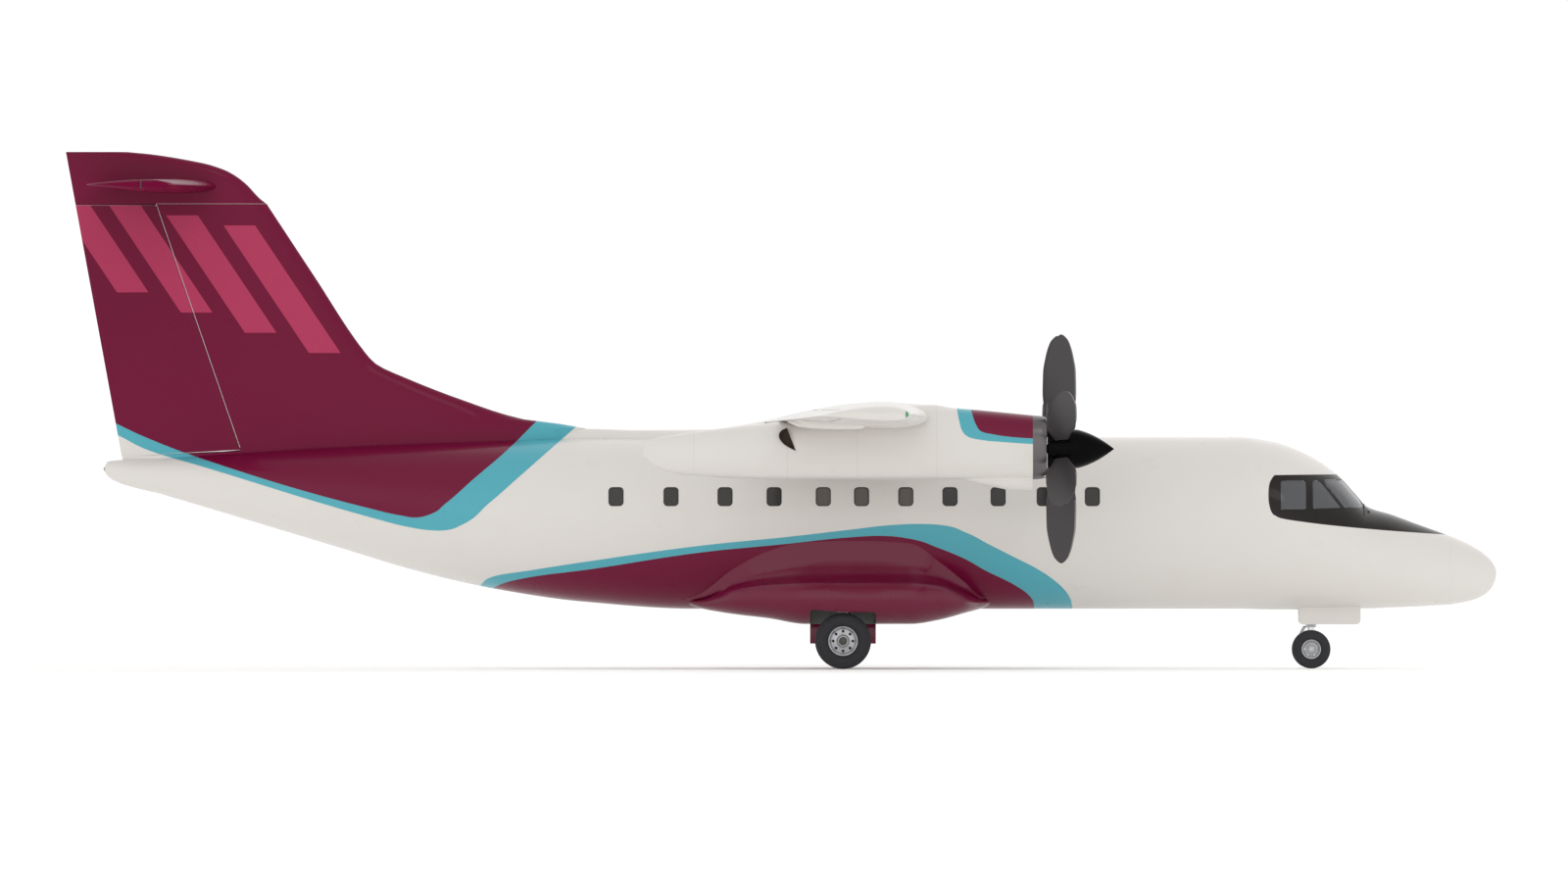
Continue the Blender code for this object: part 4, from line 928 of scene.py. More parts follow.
def wingTipRing(y):
    # the planform's nose sweeps back and the section thins out in a quarter of an ellipse
    share = (abs(y) - wing["tipFrom"]) / (wing["tipEnd"] - wing["tipFrom"])
    if share <= 0:
        return wingRing(y)
    thin = math.sqrt(max(0.0, 1 - share * share))
    sweep = 1 - 0.38 * share ** 3
    ring = []
    for aft, up in airfoilRound(wing["ratio"], wing["camber"], wing["points"]):
        mean = airfoilMean(max(0.0, aft), wing["camber"])
        ring.append(wingPoint(y, 0.92 + (aft - 0.92) * sweep, mean + (up - mean) * (0.03 + 0.97 * thin)))
    return ring


def wingSkin(values, grow=0.0):
    return ringSkin(values, lambda y: wingRing(y, grow))


def wingHinge(y):
    return Vector(wingPoint(y, wing["hinge"], airfoilMean(wing["hinge"], wing["camber"])))


def wedge(near, far, heights, frontAt, reach=4.0):
    # a cutter behind a slanted line, between two stations on Y
    bm = bmesh.new()
    bmesh.ops.create_cube(bm, size=1.0)
    for vert in bm.verts:
        y = near if vert.co.y < 0 else far
        z = heights[0] if vert.co.z < 0 else heights[1]
        front = frontAt(y, z)
        vert.co = Vector((front if vert.co.x > 0 else front - reach, y, z))
    bmesh.ops.recalc_face_normals(bm, faces=bm.faces)
    return bm


def wingCove(side, inner, outer):
    # the skin ends just ahead of the hinge, over a hollow for the surface's round nose
    def radiusAt(y):
        return airfoilHalf(wing["hinge"]) * wing["ratio"] * wingLine(y)[1]

    def frontAt(y, _):
        return wingHinge(y).x + wing["shroud"] * radiusAt(y)

    near, far = sorted((side * (inner - wing["endGap"]), side * (outer + wing["endGap"])))
    gap = wing["noseGap"]
    hollow = rod(wingHinge(near), wingHinge(far), radiusAt(near) + gap, radiusAt(far) + gap, 64)
    return [tinted(wedge(near, far, (3.0, 5.0), frontAt), 1), tinted(hollow, 1)]


flapTracks = {
    "places": (5.45, 7.75),
    "rows": (
        # share of the chord aft, half width, half height, rise from the wing's line
        (0.99, 0.004, 0.004, -0.05),
        (0.9, 0.04, 0.06, -0.075),
        (0.7, 0.062, 0.085, -0.085),
        (0.5, 0.05, 0.06, -0.11),
        (0.4, 0.008, 0.01, -0.135),
    ),
}
wingFairing = {
    "rows": (
        # x, top, half width
        (-4.5, 3.7, 0.16),
        (-3.9, 3.77, 0.21),
        (-3.0996, 3.8, 0.24),
        (-2.3, 3.78, 0.36),
        (-1.2, 3.79, 0.62),
        (-0.4, 3.9, 0.92),
        (0.6, 4.11, 1.12),
        (1.6, 4.215, 1.18),
        (2.3, 4.18, 1.14),
        (2.9, 4.02, 0.98),
        (3.6, 3.74, 0.6),
    ),
    "foot": 2.9,
    "power": 2.5,
    "around": 56,
}


def trackFairing(y):
    # a slim canoe under the wing that covers a flap's track
    nose, chord, height = wingLine(y)
    rows = [(nose - chord * aft, wide, tall, height + rise) for aft, wide, tall, rise in flapTracks["rows"]]

    def pointAt(x, turn):
        _, wide, tall, level = rowAt(rows, x)
        angle = math.tau * turn
        return Vector((x, y + wide * math.cos(angle), level + tall * math.sin(angle)))

    return gridSkin(spread(rows[0][0], rows[3][0] + 0.1, 28), 24, pointAt)


def buildWing():
    centre = wing["centre"]
    innerFlap, *outerSurfaces = (row[2:] for row in wing["surfaces"])
    middle = wingSkin(spread(-centre, centre, 40))
    middle = carved(middle, [tool for _, side in sides for tool in wingCove(side, *innerFlap)])
    finishes = [wingPaint, covePrimer]
    keep(middle, "wing_centre_skin", finishes, replaced=("wing_centre",))
    section = surfaceRound(wing["ratio"], wing["camber"], wing["hinge"])
    for name, side in sides:
        tip = crowded(wing["tipFrom"], wing["tipEnd"], 12)
        stations = [side * y for y in spread(centre + hairGap, 12.3, 40) + tip]
        coves = [tool for ends in outerSurfaces for tool in wingCove(side, *ends)]
        panel = carved(ringSkin(stations, wingTipRing), coves)
        replaced = (f"outer_wing_{name}",)
        keep(panel, f"outer_wing_skin_{name}", finishes, replaced=replaced)
        for label, body, inner, outer in wing["surfaces"]:
            stations = [side * y for y in spread(inner, outer, 24)]
            surface = ringSkin(stations, lambda y: [wingPoint(y, aft, up) for aft, up in section])
            body, replaced = f"{body}_{name}", (f"{label}_{name}",)
            keep(surface, f"{label}_skin_{name}", wingPaint, body, replaced)
        fairings = [trackFairing(side * y) for y in flapTracks["places"]]
        keep(merged(fairings), f"flap_track_fairings_{name}", wingPaint)


def buildWingFairing():
    rows, foot, power = wingFairing["rows"], wingFairing["foot"], wingFairing["power"]

    def pointAt(x, turn):
        _, top, half = rowAt(rows, x)
        if turn >= 0.5:
            # the flat foot runs back under the arch
            return Vector((x, half * (4 * turn - 3), foot))
        angle = math.tau * turn
        up = bent(abs(math.sin(angle)), power)
        return Vector((x, bent(math.cos(angle), power) * half, foot + up * (top - foot)))

    skin = gridSkin(spread(rows[0][0], rows[-1][0], 90), wingFairing["around"] * 2, pointAt)
    tools = [hullSkin(spread(-5.2, 5.2, 40), hairGap), wingSkin(spread(-1.9, 1.9, 16), hairGap)]
    tools += [tool for _, side in sides for tool in wingCove(side, *wing["surfaces"][0][2:])]
    skin, finishes = carved(skin, tools), [wingRootPaint, covePrimer]
    keep(skin, "wing_root_fairing", finishes, replaced=("wing_fairing",))


buildWing()
buildWingFairing()
print("wing built")


# Fin, rudder and tailplane

fin = {
    "trail": ((-10.45, 3.37), (-11.335, 8.19)),
    "hinge": ((-8.6, 3.45), (-9.94, 7.35)),
    "noseRadius": 0.125,
    "rows": (
        # height, leading edge
        (3.2, -3.1),
        (3.81, -3.1),
        (3.95, -4.07),
        (4.24, -5.0),
        (4.6, -5.93),
        (4.83, -6.42),
        (5.06, -6.63),
        (6.2, -7.385),
        (7.363, -8.15),
    ),
    "tipRows": (
        # height, leading edge, thickness
        (7.3633, -8.15, 0.324),
        (7.45, -8.26, 0.322),
        (7.69, -8.49, 0.32),
        (7.86, -8.73, 0.3),
        (7.98, -9.04, 0.26),
        (8.08, -9.52, 0.2),
        (8.15, -9.98, 0.13),
        (8.186, -10.36, 0.06),
    ),
    "rudderTop": 7.337,
    "rudderFoot": ((-8.2, 3.486), (-10.6, 3.352)),
    "points": 26,
    "cove": (3.0, 7.5),  # heights between which the hollow for the rudder is cut
}
tail = {
    "half": 3.95,
    "height": 7.642,
    "ratio": 0.113,
    "root": (-8.93, 2.002),
    "tip": (-9.61, 1.322),
    "hinge": -10.047,
    "radius": 0.093,
    "jointGap": 0.012,
    "inner": 0.2,
    "outer": 3.78,
    "levels": (7.0, 8.4),  # heights that hold the whole tailplane
    "tips": {0.05: 0.94, 0.004: 0.55},  # size of the rings this far in from each tip
}


def slantAt(line, z):
    (lowX, lowZ), (highX, highZ) = line
    return lowX + (highX - lowX) * (z - lowZ) / (highZ - lowZ)


def uprightRing(section, nose, chord, z):
    return [(nose - aft * chord, up * chord, z) for aft, up in section]


def finRing(z, nose, thickness):
    chord = nose - slantAt(fin["trail"], z)
    return uprightRing(airfoilRound(thickness / chord, 0.0, fin["points"]), nose, chord, z)


def finLine(z):
    # straight from row to row, as the rudder's nose has the same radius all the way up
    spans = zip(fin["rows"], fin["rows"][1:])
    nose = next(slantAt((near[::-1], far[::-1]), z) for near, far in spans if near[0] <= z <= far[0])
    chord = nose - slantAt(fin["trail"], z)
    hinge = (nose - slantAt(fin["hinge"], z)) / chord
    return nose, chord, hinge, fin["noseRadius"] / airfoilHalf(hinge)


def shroudEdge(z):
    # where the fixed skin ends, just ahead of the rudder's hinge
    return slantAt(fin["hinge"], z) + wing["shroud"] * fin["noseRadius"]


def buildFin():
    heights = [3.2, 3.5, 3.81]
    for near, far in zip(fin["rows"][1:], fin["rows"][2:]):
        heights += spread(near[0], far[0], max(2, round((far[0] - near[0]) / 0.08)))[1:]

    skin = ringSkin(heights, lambda z: finRing(z, rowAt(fin["rows"], z)[1], finLine(z)[3]))
    cove = wedge(-0.5, 0.5, fin["cove"], lambda _, z: shroudEdge(z))
    ends = [Vector((slantAt(fin["hinge"], z), 0, z)) for z in fin["cove"]]
    hollow = rod(*ends, fin["noseRadius"] + wing["noseGap"], steps=64)
    skin = carved(skin, [tinted(cove, 1), tinted(hollow, 1), hullSkin(spread(-10.5, -2.5, 60), hairGap)])
    finishes = [tailPaint, blackEnamel]
    keep(skin, "fin_skin", finishes, replaced=("fin",))

    def rudderRing(z):
        nose, chord, hinge, thickness = finLine(z)
        return uprightRing(surfaceRound(thickness / chord, 0.0, hinge), nose, chord, z)

    rudder = ringSkin(spread(3.21, fin["rudderTop"], 60), rudderRing)
    (frontX, frontZ), (backX, backZ) = fin["rudderFoot"]
    behind = backX - 0.4
    foot = plate(((frontX, frontZ), (behind, backZ - 0.022), (behind, 2.8), (frontX, 2.8)), -0.5, 0.5)
    keep(carved(rudder, [foot]), "rudder_skin", finishes, "rudder", ("rudder",))

    rows = fin["tipRows"]
    values = [z for near, far in zip(rows, rows[1:]) for z in spread(near[0], far[0], 5)[:-1]]
    values.append(rows[-1][0])
    cap = ringSkin(values, lambda z: finRing(z, *rowAt(rows, z)[1:]))
    ahead = box((-12.0, tailJoint() - hairGap), about(0, 1.0), tail["levels"])
    cap = carved(cap, [carved(tailSkin(spread(-0.6, 0.6, 4), hairGap), [ahead])])
    keep(cap, "fin_cap_skin", tailPaint, replaced=("fin_tip",))


def tailLine(y):
    share = abs(y) / tail["half"]
    nose = tail["root"][0] + (tail["tip"][0] - tail["root"][0]) * share
    return nose, tail["root"][1] + (tail["tip"][1] - tail["root"][1]) * share


def levelRing(section, nose, chord, y):
    return [(nose - aft * chord, y, tail["height"] + up * chord) for aft, up in section]


def tailRing(y, grow=0.0):
    nose, chord = tailLine(y)
    return levelRing(airfoilRound(tail["ratio"], 0.0, 24, grow / chord), nose, chord, y)


def tailSkin(values, grow=0.0):
    return ringSkin(values, lambda y: tailRing(y, grow))


def tailJoint():
    # where the elevators' cut-out ends at the middle of the tailplane
    return tail["hinge"] + tail["radius"] + tail["jointGap"]


def buildTailplane():
    hinge, level, half = tail["hinge"], tail["height"], tail["half"]
    inner, outer, gap = tail["inner"], tail["outer"], wing["endGap"]

    def radiusAt(y):
        nose, chord = tailLine(y)
        return airfoilHalf((nose - hinge) / chord) * tail["ratio"] * chord

    def frontAt(y, _):
        return hinge + wing["shroud"] * radiusAt(y)

    cuts = [box((-11.5, tailJoint()), about(0, inner - gap), tail["levels"])]
    for _, side in sides:
        near, far = side * (inner - gap - 0.001), side * (outer + gap)
        cuts.append(tinted(wedge(near, far, tail["levels"], frontAt), 1))
        radii = [radiusAt(y) + wing["noseGap"] for y in (near, far)]
        cuts.append(tinted(rod((hinge, near, level), (hinge, far, level), *radii, 64), 1))

    def ringAt(y):
        nose, chord = tailLine(y)
        middle = Vector((nose - 0.45 * chord, y, level))
        share = next((size for inset, size in tail["tips"].items() if abs(y) == half - inset), 1.0)
        return [middle + (Vector(point) - middle) * share for point in tailRing(y)]

    def elevatorRing(y):
        nose, chord = tailLine(y)
        return levelRing(surfaceRound(tail["ratio"], 0.0, (nose - hinge) / chord), nose, chord, y)

    ends = [half - inset for inset in tail["tips"]]
    values = [-y for y in reversed(ends)] + spread(-half, half, 60)[1:-1] + ends
    skin = carved(ringSkin(values, ringAt), cuts)
    finishes = [tailplanePaint, blackEnamel]
    keep(skin, "tailplane_skin", finishes, replaced=("tailplane",))
    for name, side in sides:
        skin = ringSkin([side * y for y in spread(inner, outer, 24)], elevatorRing)
        pin = rod((hinge, side * 0.1, level), (hinge, side * 0.25, level), 0.019)
        skin = merged([skin, tinted(pin, 1)])
        body, finishes = f"elevator_{name}", [tailplanePaint, steelDark]
        keep(skin, f"elevator_skin_{name}", finishes, body, (body,))


buildFin()
buildTailplane()
print("tail built")


# Engine nacelles

nacelle = {
    "y": 3.75,
    "shaft": 3.481,
    "power": 2.3,
    "rows": (
        # x, top, bottom, half width
        (-2.16, 3.59, 3.36, 0.03),
        (-1.99, 3.645, 3.2, 0.12),
        (-1.68, 3.7, 3.1, 0.22),
        (-1.37, 3.75, 3.06, 0.28),
        (-0.71, 3.83, 3.02, 0.37),
        (-0.06, 3.905, 3.0, 0.43),
        (0.82, 3.99, 3.0, 0.47),
        (1.68, 4.14, 3.0, 0.49),
        (2.38, 4.18, 3.0, 0.49),
        (2.69, 4.13, 3.0, 0.48),
        (3.15, 4.09, 3.0, 0.47),
        (3.96, 4.01, 3.0, 0.44),
    ),
    "chin": (
        # x, bottom, half width
        (2.7, 3.03, 0.06),
        (2.95, 2.97, 0.14),
        (3.35, 2.88, 0.2),
        (3.7, 2.825, 0.22),
        (3.96, 2.82, 0.21),
    ),
    "chinTop": 3.2,
    # half width, heights, depth and corner of the two slots in the face
    "chinMouth": (0.15, (2.86, 2.96), 0.3, 0.045),
    "duct": (0.2, (3.045, 3.105), 0.3, 0.028),
    "lip": (
        (3.9603, 4.01, 3.0, 0.44),
        (4.07, 4.002, 3.006, 0.432),
        (4.13, 3.991, 3.015, 0.421),
        (4.16, 3.979, 3.024, 0.408),
        (4.174, 3.966, 3.034, 0.394),
        (4.18, 3.95, 3.048, 0.378),
    ),
    "mouth": (
        # radius and place ahead of the nacelle's front
        (0.0, -0.05), (0.335, -0.05), (0.335, 0.16), (0.341, 0.185), (0.353, 0.2), (0.375, 0.23),
        (0.0, 0.23),
    ),
    "bore": (2.45, 0.36),
    "engine": (
        (0.0, 2.451), (0.36, 2.451), (0.36, 3.9), (0.34, 3.915), (0.18, 3.92), (0.16, 3.93), (0.078, 3.93),
        (0.078, 3.81), (0.0, 3.81),
    ),
    "exhaust": (
        (0.093, 3.815), (0.03, 3.788), (-0.01, 3.755), (-0.032, 3.718), (-0.033, 3.68), (-0.022, 3.635),
        (0.01, 3.59), (0.05, 3.55), (0.1, 3.515), (0.165, 3.48), (0.233, 3.45),
    ),
    "exhaustWall": 0.5,  # how far out from the nacelle's middle the exhaust opens
    "exhaustDepth": 0.3,
    "around": 72,
}


def ovalSkin(rows, values, y, power, around):
    def pointAt(x, turn):
        _, top, bottom, half = rowAt(rows, x)
        angle = math.tau * turn
        across, up = bent(math.cos(angle), power), bent(math.sin(angle), power)
        return Vector((x, y + across * half, (top + bottom) / 2 + up * (top - bottom) / 2))

    return gridSkin(values, around, pointAt)


def slotCutter(slot, y, front, back=None):
    # a cutter along X with rounded corners; it goes as deep as the slot unless it is given a back
    half, heights, depth, rounding = slot
    low = nacelle["rows"][-1][0] - (depth if back is None else back)
    slab = plate(rectangle((-half, half), heights), low, nacelle["rows"][-1][0] + front, rounding)
    return tinted(moved(slab, Matrix.Translation((0, y, 0)) @ Matrix.Rotation(-math.pi / 2, 4, "Z")), 1)


def buildNacelle(name, side):
    y, shaft, rows = side * nacelle["y"], nacelle["shaft"], nacelle["rows"]
    start, front = rows[0][0], rows[-1][0]
    shape = (nacelle["power"], nacelle["around"])
    values = fromTip(start, 0.16, 0.06, front, 96)
    chinRows = [(x, nacelle["chinTop"], bottom, half) for x, bottom, half in nacelle["chin"]]
    chin = ovalSkin(chinRows, spread(chinRows[0][0], chinRows[-1][0], 30), y, 2.0, 40)
    skin = carved(ovalSkin(rows, values, y, *shape), [chin], "UNION")
    back, radius = nacelle["bore"]  # the bore holds the engine
    wall = y + side * nacelle["exhaustWall"]
    bore = rod((back - hairGap, y, shaft), (front + 0.1, y, shaft), radius + hairGap, steps=64)
    skin = carved(skin, [
        wingSkin(spread(y - 0.7, y + 0.7, 8), hairGap),
        tinted(bore, 1),
        slotCutter(nacelle["duct"], y, 0.3),
        slotCutter(nacelle["chinMouth"], y, 0.1),
        tinted(plate(nacelle["exhaust"], wall - side * nacelle["exhaustDepth"], wall + side * 0.15), 2),
    ])
    # the bore and the slots take the near black painted shade; the exhaust takes the heat-stained steel
    finishes, replaced = [cowlPaint, intakeShadeBlack, exhaustSteel], (f"nacelle_{name}",)
    keep(skin, f"nacelle_skin_{name}", finishes, replaced=replaced)

    lip = ovalSkin(nacelle["lip"], [row[0] for row in nacelle["lip"]], y, *shape)
    mouth = turned(nacelle["mouth"], (front, y, shaft), (1, 0, 0), 72)
    lip = carved(lip, [tinted(mouth, 1), slotCutter(nacelle["duct"], y, 0.4, 0.1)])
    # the intake's mouth and the duct slot take the near black painted shade
    finishes, replaced = [lipMetal, intakeShadeBlack], (f"intake_lip_{name}",)
    keep(lip, f"intake_lip_ring_{name}", finishes, replaced=replaced)

    case = turned(nacelle["engine"], (0, y, shaft), (1, 0, 0), 48)
    keep(case, f"engine_case_{name}", engineMetal, replaced=(f"engine_{name}",))

    # pipe end inside the exhaust, seen as a brown rim round a dark hollow
    ring = plate(nacelle["exhaust"], wall - side * 0.16, wall - side * 0.045)
    hollow = plate(drawnIn(nacelle["exhaust"], 0.012), wall - side * 0.3, wall + side * 0.1)
    keep(carved(ring, [hollow]), f"exhaust_rim_{name}", exhaustSteel)


propeller = {
    "x": 4.41,
    "blades": 6,
    "hub": (
        # radius and place along the shaft
        (0.0, 3.83), (0.07, 3.83), (0.07, 4.193), (0.312, 4.193), (0.32, 4.2), (0.32, 4.41), (0.303, 4.67),
        (0.0, 4.67),
    ),
    "spinner": 5.241,
    "cuff": ((0.0, 0.29), (0.074, 0.29), (0.078, 0.305), (0.07, 0.335), (0.06, 0.345), (0.0, 0.345)),
    "tipFrom": 1.7,  # the blade's tip is rounded from this radius on
    "tipReach": 0.104,  # and would close to a point this much further out
    "rows": (
        # radius, chord, thickness, degrees from the disc
        (0.24, 0.17, 0.09, 84),
        (0.42, 0.29, 0.06, 82),
        (0.62, 0.42, 0.044, 79),
        (0.9, 0.49, 0.032, 76),
        (1.21, 0.483, 0.024, 73),
        (1.45, 0.41, 0.018, 71),
        (1.68, 0.27, 0.012, 69),
        (1.8, 0.09, 0.008, 68),
    ),
    "around": 28,
    "sheathFrom": 0.8,
    "sheath": 0.9,  # the sheath starts at this share of the half chord
}


def bladePoint(radius, turn):
    _, chord, thick, pitch = rowAt(propeller["rows"], radius)
    outward = (radius - propeller["tipFrom"]) / propeller["tipReach"]
    if outward > 0:
        chord = max(0.03, chord * math.sqrt(max(0.0, 1 - outward ** 4)))
    angle, pitch = math.tau * turn, math.radians(pitch)
    along, off = math.cos(angle) * chord / 2, math.sin(angle) * thick / 2
    forward, across = math.sin(pitch), math.cos(pitch)
    return Vector((along * forward - off * across, along * across + off * forward, radius))


def buildPropeller(name, side):
    x, blades, rows = propeller["x"], propeller["blades"], propeller["rows"]
    centre, ahead = Vector((x, side * nacelle["y"], nacelle["shaft"])), (1, 0, 0)
    body = f"propeller_{name}"
    shapes = [turned([(radius, at - x) for radius, at in propeller["hub"]], centre, ahead, 72)]
    root, tip = spread(rows[0][0], propeller["tipFrom"], 36), crowded(propeller["tipFrom"], rows[-1][0], 8)
    values = root + tip[1:]
    for index in range(blades):
        blade = gridSkin(values, propeller["around"], bladePoint)
        for face in blade.faces:
            middle = face.calc_center_median()
            _, chord, _, pitch = rowAt(rows, middle.z)
            forward = middle.x * math.sin(math.radians(pitch)) + middle.y * math.cos(math.radians(pitch))
            sheathed = middle.z > propeller["sheathFrom"] and forward > chord / 2 * propeller["sheath"]
            face.material_index = 2 if sheathed else 1
        turn = Matrix.Translation(centre) @ Matrix.Rotation(math.tau * index / blades, 4, "X")
        cuff = turned(propeller["cuff"], (0, 0, 0), (0, 0, 1), 32)
        shapes += [moved(blade, turn), moved(cuff, turn)]
    finishes = [spinnerGloss, bladeComposite, bladeSheath]
    keep(merged(shapes), f"blades_and_hub_{name}", finishes, body, (body,))

    tip = propeller["spinner"] - x
    radius, foot = propeller["hub"][-2][0], propeller["hub"][-2][1] + hairGap - x
    profile = [(0.0, tip)]
    for step in range(1, 32):
        share = (step / 32) ** 1.6
        ogive = math.hypot(1.55 * share - 0.55 * share ** 2, math.sqrt(0.012 * share * (1 - share)))
        profile.append((radius * ogive, tip - (tip - foot + hairGap) * share))
    spinner = turned([*profile, (radius, foot), (0.0, foot)], centre, ahead, 72)
    keep(spinner, f"spinner_nose_{name}", spinnerGloss, body, (f"spinner_{name}",))


for sideName, sideSign in sides:
    buildNacelle(sideName, sideSign)
    buildPropeller(sideName, sideSign)
print("engines built")


# Main gear fairings

pods = {
    "rows": (
        # x, top, shoulder, bottom, half width; both ends run into the hull
        (-1.54, 1.11, 1.09, 1.045, 0.42),
        (-1.3, 1.2, 1.1, 0.96, 0.7),
        (-0.75, 1.62, 1.3, 0.865, 1.34),
        (-0.2, 1.93, 1.36, 0.8, 1.66),
        (0.4, 2.12, 1.38, 0.71, 1.86),
        (1.3, 2.15, 1.38, 0.71, 1.92),
        (2.05, 2.08, 1.38, 0.71, 1.88),
        (2.5, 1.74, 1.34, 0.775, 1.7),
        (2.9, 1.4, 1.2, 0.88, 1.36),
        (3.2, 1.14, 1.1, 0.965, 0.7),
        (3.38, 1.11, 1.09, 1.055, 0.4),
    ),
    "flat": 0.62,
    "rise": 0.62,  # share of the way up to the shoulder that the lower corner takes
    "brow": 0.9,
    "hullRound": (1.3585, 2.3085),  # the fuselage's radius and the height of its middle
    "wallPower": 8,  # the shelf above the shoulder sweeps up into an upright wall
    "bay": {"x": (0.46, 1.5), "y": (1.06, 1.4, 1.8), "roof": 1.5, "lowRoof": 1.18},
}


def podHalf(x):
    # half a section from the middle of the belly to the middle of the top
    _, top, shoulder, bottom, half = rowAt(pods["rows"], x)
    flat, edge = pods["flat"] * half, pods["brow"] * half
    corner = bottom + (shoulder - bottom) * pods["rise"]
    radius, level = pods["hullRound"]
    side = max(0.5, math.sqrt(max(0.0, radius ** 2 - (top - level) ** 2)) - 0.02)
    points = [(y, bottom) for y in spread(0.0, flat, 6)]
    for angle in spread(0.0, math.pi / 2, 14)[1:]:
        out, down = math.sin(angle), math.cos(angle)
        points.append((flat + (half - flat) * out, corner - (corner - bottom) * down))
    for share in spread(0.0, 1.0, 8)[1:]:
        near, middle, far = (1 - share) ** 2, 2 * share * (1 - share), share ** 2
        points.append((
            (near + middle) * half + far * edge,
            near * corner + middle * (shoulder - 0.01) + far * shoulder,
        ))
    for step in range(1, 19):
        # the steps grow with the height, as the shelf turns up into the wall
        share = (step / 18) ** 2
        inward = 1 - (1 - share) ** pods["wallPower"]
        points.append((edge + (side - edge) * inward, shoulder + (top - shoulder) * share))
    return points + [(y, top) for y in spread(side, 0.0, 6)[1:]]


def buildPods():
    bay = pods["bay"]
    inner, step, outer = bay["y"]

    def ringAt(x):
        half = podHalf(x)
        return [(x, y, z) for y, z in half] + [(x, -y, z) for y, z in reversed(half[:-1])]

    skin = ringSkin(spread(pods["rows"][0][0], pods["rows"][-1][0], 90), ringAt)
    tools = [hullSkin(spread(-2.0, 4.2, 20), 0.0008)]
    for _, side in sides:
        for limit, roof in ((outer, bay["lowRoof"]), (step, bay["roof"])):
            well = box(bay["x"], (side * inner, side * limit), (0.4, roof))
            corners = [edge for edge in well.edges if abs(edge.verts[0].co.z - edge.verts[1].co.z) > 0.5]
            tools.append(tinted(bevelled(well, corners, 0.05, 4), 1))
    replaced, slot = ("gear_fairing_left", "gear_fairing_right"), "burgundy_composite"
    keep(carved(skin, tools), "gear_fairings", [podPaint, wellPrimer], replaced=replaced)
    for name, side in sides:
        door = box(bay["x"], (side * 1.03, side * 1.05), (0.4, 0.7097), 0.006)
        replaced = (f"main_gear_door_{name}",)
        keep(door, f"main_gear_door_panel_{name}", podPaint, replaced=replaced)


buildPods()
print("gear fairings built")


# Landing gear

mainGear = {
    "x": 0.98,
    "strut": 1.27,
    "wheel": 1.6,
    "height": 0.44446,
    "shell": (
        # radius and height
        (0.0, 0.66), (0.072, 0.66), (0.078, 0.67), (0.078, 0.7), (0.098, 0.705), (0.1, 0.715), (0.1, 0.76),
        (0.094, 0.772), (0.085, 0.785), (0.085, 1.2), (0.098, 1.22), (0.098, 1.3), (0.088, 1.32),
        (0.085, 1.4), (0.085, 1.4997), (0.0, 1.4997),
    ),
    "links": (
        # the upper and the lower arm, as places ahead of the leg and heights
        ((-0.145, 0.768), (-0.095, 0.7), (-0.232, 0.594), (-0.262, 0.626)),
        ((-0.145, 0.46), (-0.095, 0.526), (-0.232, 0.634), (-0.262, 0.602)),
    ),
    "brace": ((0.0, 0.95), (0.4, 1.436)),
    "pins": ((-0.12, 0.735), (-0.12, 0.49), (-0.247, 0.612), (0.0, 0.95), (0.4, 1.436)),
    "discs": (
        (0.062, 0.0), (0.15, 0.0), (0.15, 0.012), (0.186, 0.012), (0.186, 0.026), (0.176, 0.026),
        (0.176, 0.034), (0.186, 0.034), (0.186, 0.048), (0.176, 0.048), (0.176, 0.056), (0.186, 0.056),
        (0.186, 0.07), (0.062, 0.07),
    ),
    "carrier": ((0.06, 0.0), (0.152, 0.0), (0.152, 0.022), (0.06, 0.022)),
    "hoses": (
        # radius, then places ahead of the leg, out from it and up
        (0.009, (
            (0.093, 0.0, 1.34), (0.1, 0.0, 1.1), (0.104, 0.01, 0.88),
            (0.15, 0.02, 0.72), (0.125, 0.03, 0.6), (0.095, 0.05, 0.53),
        )),
        (0.007, (
            (0.07, -0.068, 1.34), (0.078, -0.07, 1.05), (0.082, -0.072, 0.86),
            (0.12, -0.07, 0.7), (0.11, -0.05, 0.58), (0.08, -0.02, 0.52),
        )),
    ),
    "cap": ((0.0, 0.0), (0.064, 0.0), (0.066, 0.01), (0.058, 0.022), (0.03, 0.03), (0.0, 0.032)),
}
noseGear = {
    "x": 8.4,
    "wheel": 0.185,
    "height": 0.30618,
    "shell": (
        (0.057, 0.682), (0.08, 0.682), (0.084, 0.69), (0.084, 0.725), (0.076, 0.735), (0.075, 0.86),
        (0.09, 0.87), (0.09, 0.965), (0.075, 0.975), (0.075, 1.2), (0.086, 1.21), (0.086, 1.27),
        (0.075, 1.28), (0.075, 1.4497), (0.0, 1.4497), (0.0, 1.012), (0.057, 1.012),
    ),
    "links": (
        ((-0.122, 0.678), (-0.088, 0.64), (-0.176, 0.51509), (-0.202, 0.53509)),
        ((-0.122, 0.37218), (-0.088, 0.41018), (-0.176, 0.53509), (-0.202, 0.51509)),
    ),
    "collar": ((0.056, 0.655), (0.082, 0.655), (0.084, 0.66), (0.084, 0.674), (0.056, 0.678)),
    "lamp": (0.155, 1.06),
    "lampShell": (
        (0.0, -0.07), (0.03, -0.068), (0.05, -0.045), (0.062, 0.0), (0.064, 0.012), (0.058, 0.012),
        (0.0, 0.008),
    ),
    "lampGlass": ((0.0, 0.0102), (0.0565, 0.0125), (0.052, 0.018), (0.025, 0.024), (0.0, 0.026)),
    "cap": ((0.0, 0.0), (0.042, 0.0), (0.043, 0.006), (0.036, 0.014), (0.0, 0.018)),
    "door": ((0.7, 1.3), (0.294, 0.312)),  # heights and the two faces
}
tyres = {
    # radius, half width, bead radius, shoulder radius, groove places and half width
    "main": (0.4444, 0.165, 0.2352, 0.34, (0.052, 0.0), 0.005),
    "nose": (0.306, 0.095, 0.1552, 0.235, (0.03, 0.0), 0.004),
}
